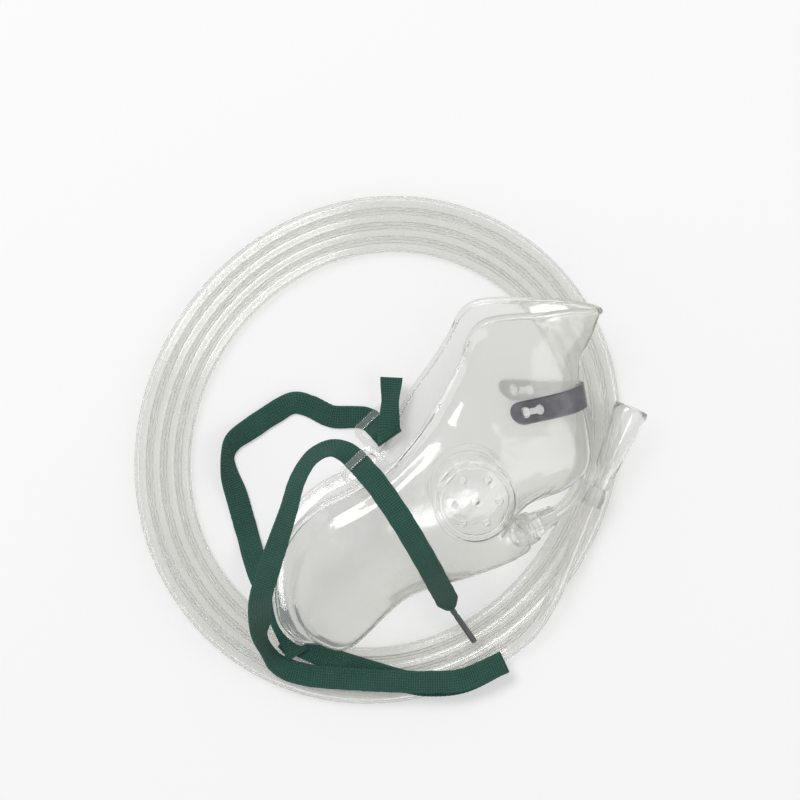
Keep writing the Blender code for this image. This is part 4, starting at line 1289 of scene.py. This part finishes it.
class OXYGENMASK_OT_nose_clip(Operator):
    """Bends the aluminium strip over the nose and punches its keyhole slots"""

    bl_idname = "oxygen_mask.nose_clip"
    bl_label = "Nose Clip"

    def execute(self, context):
        values = settings().clip
        frames = clip_frames(outer_tree(mask_surface()))
        middle, across, _, _, travelled = frames
        half = values.width / MM / 2
        from_end = np.minimum(travelled, travelled[-1] - travelled)
        short = (half - np.minimum(from_end, half)) / half
        widths = half * np.sqrt(np.clip(1 - short**2, CLIP_END_LEAST**2, 1))
        columns = np.linspace(-1, 1, CLIP_COLUMNS)
        points = [p + a * w * c for p, a, w in zip(middle, across, widths, strict=True) for c in columns]
        uv = [(s, w * c) for s, w in zip(travelled, widths, strict=True) for c in columns]
        faces = swept_faces((len(middle), len(columns)), round_section=False)
        strip = mesh_piece("nose_strip", points, faces, uv)
        apply_modifier(strip, "SOLIDIFY", thickness=values.thickness, offset=0.0)
        for keyhole in keyhole_places(frames):
            cut_keyhole(strip, *keyhole)
        bevel_edges(strip, CLIP_BEVEL, segments=2, angle=50)
        mark_inner_face(strip, frames)
        finish_piece(strip, aluminium(), ["nose_clip"], angle=30)
        return {"FINISHED"}


class OXYGENMASK_OT_head_strap(Operator):
    """Lays the woven elastic through both lugs, with its flat folds and its tapered end"""

    bl_idname = "oxygen_mask.head_strap"
    bl_label = "Head Strap"

    def execute(self, context):
        values = settings().strap
        strap = strap_mesh("woven_strap", values.width / MM, values.thickness / MM, values.weave / MM)
        finish_piece(strap, green_elastic(), ["head_strap"], angle=50)
        return {"FINISHED"}


class OXYGENMASK_OT_strap_tip(Operator):
    """Turns the crimped tip on the strap's free end"""

    bl_idname = "oxygen_mask.strap_tip"
    bl_label = "Strap Tip"

    def execute(self, context):
        start, end = Vector(STRAP_LEGS[-1][-1][:3]), Vector(TIP_END)
        axis = (end - start).normalized()
        profile = [(at, TIP_RADIUS * part) for at, part in TIP_PROFILE]
        tip = turned("crimp_tip", profile, SMALL_SIDES, hollow=False)
        stand(tip, start + axis * TIP_START, axis)
        finish_piece(tip, crimped_tip(), ["strap_tip"])
        return {"FINISHED"}


OPERATORS = (
    OXYGENMASK_OT_stage,
    OXYGENMASK_OT_connectors,
    OXYGENMASK_OT_tubing,
    OXYGENMASK_OT_mask,
    OXYGENMASK_OT_nose_clip,
    OXYGENMASK_OT_head_strap,
    OXYGENMASK_OT_strap_tip,
)


class OXYGENMASK_PT_sidebar(Panel):
    """The set's pieces, in the order in which they are made"""

    bl_idname = "OXYGENMASK_PT_sidebar"
    bl_label = "Oxygen Mask"
    bl_space_type = "VIEW_3D"
    bl_region_type = "UI"
    bl_category = "Oxygen Mask"

    def draw(self, context):
        for operator in OPERATORS:
            self.layout.operator(operator.bl_idname)


CLASSES = (
    TubingSettings,
    MaskSettings,
    ClipSettings,
    StrapSettings,
    ConnectorSettings,
    StageSettings,
    OxygenMaskSettings,
    *OPERATORS,
    OXYGENMASK_PT_sidebar,
)


def register():
    for cls in CLASSES:
        bpy.utils.register_class(cls)
    bpy.types.Scene.oxygen_mask = PointerProperty(type=OxygenMaskSettings)


def unregister():
    del bpy.types.Scene.oxygen_mask
    for cls in reversed(CLASSES):
        bpy.utils.unregister_class(cls)


def main():
    register()
    for operator in OPERATORS:
        group, name = operator.bl_idname.split(".")
        getattr(getattr(bpy.ops, group), name)()


if __name__ == "__main__":
    main()
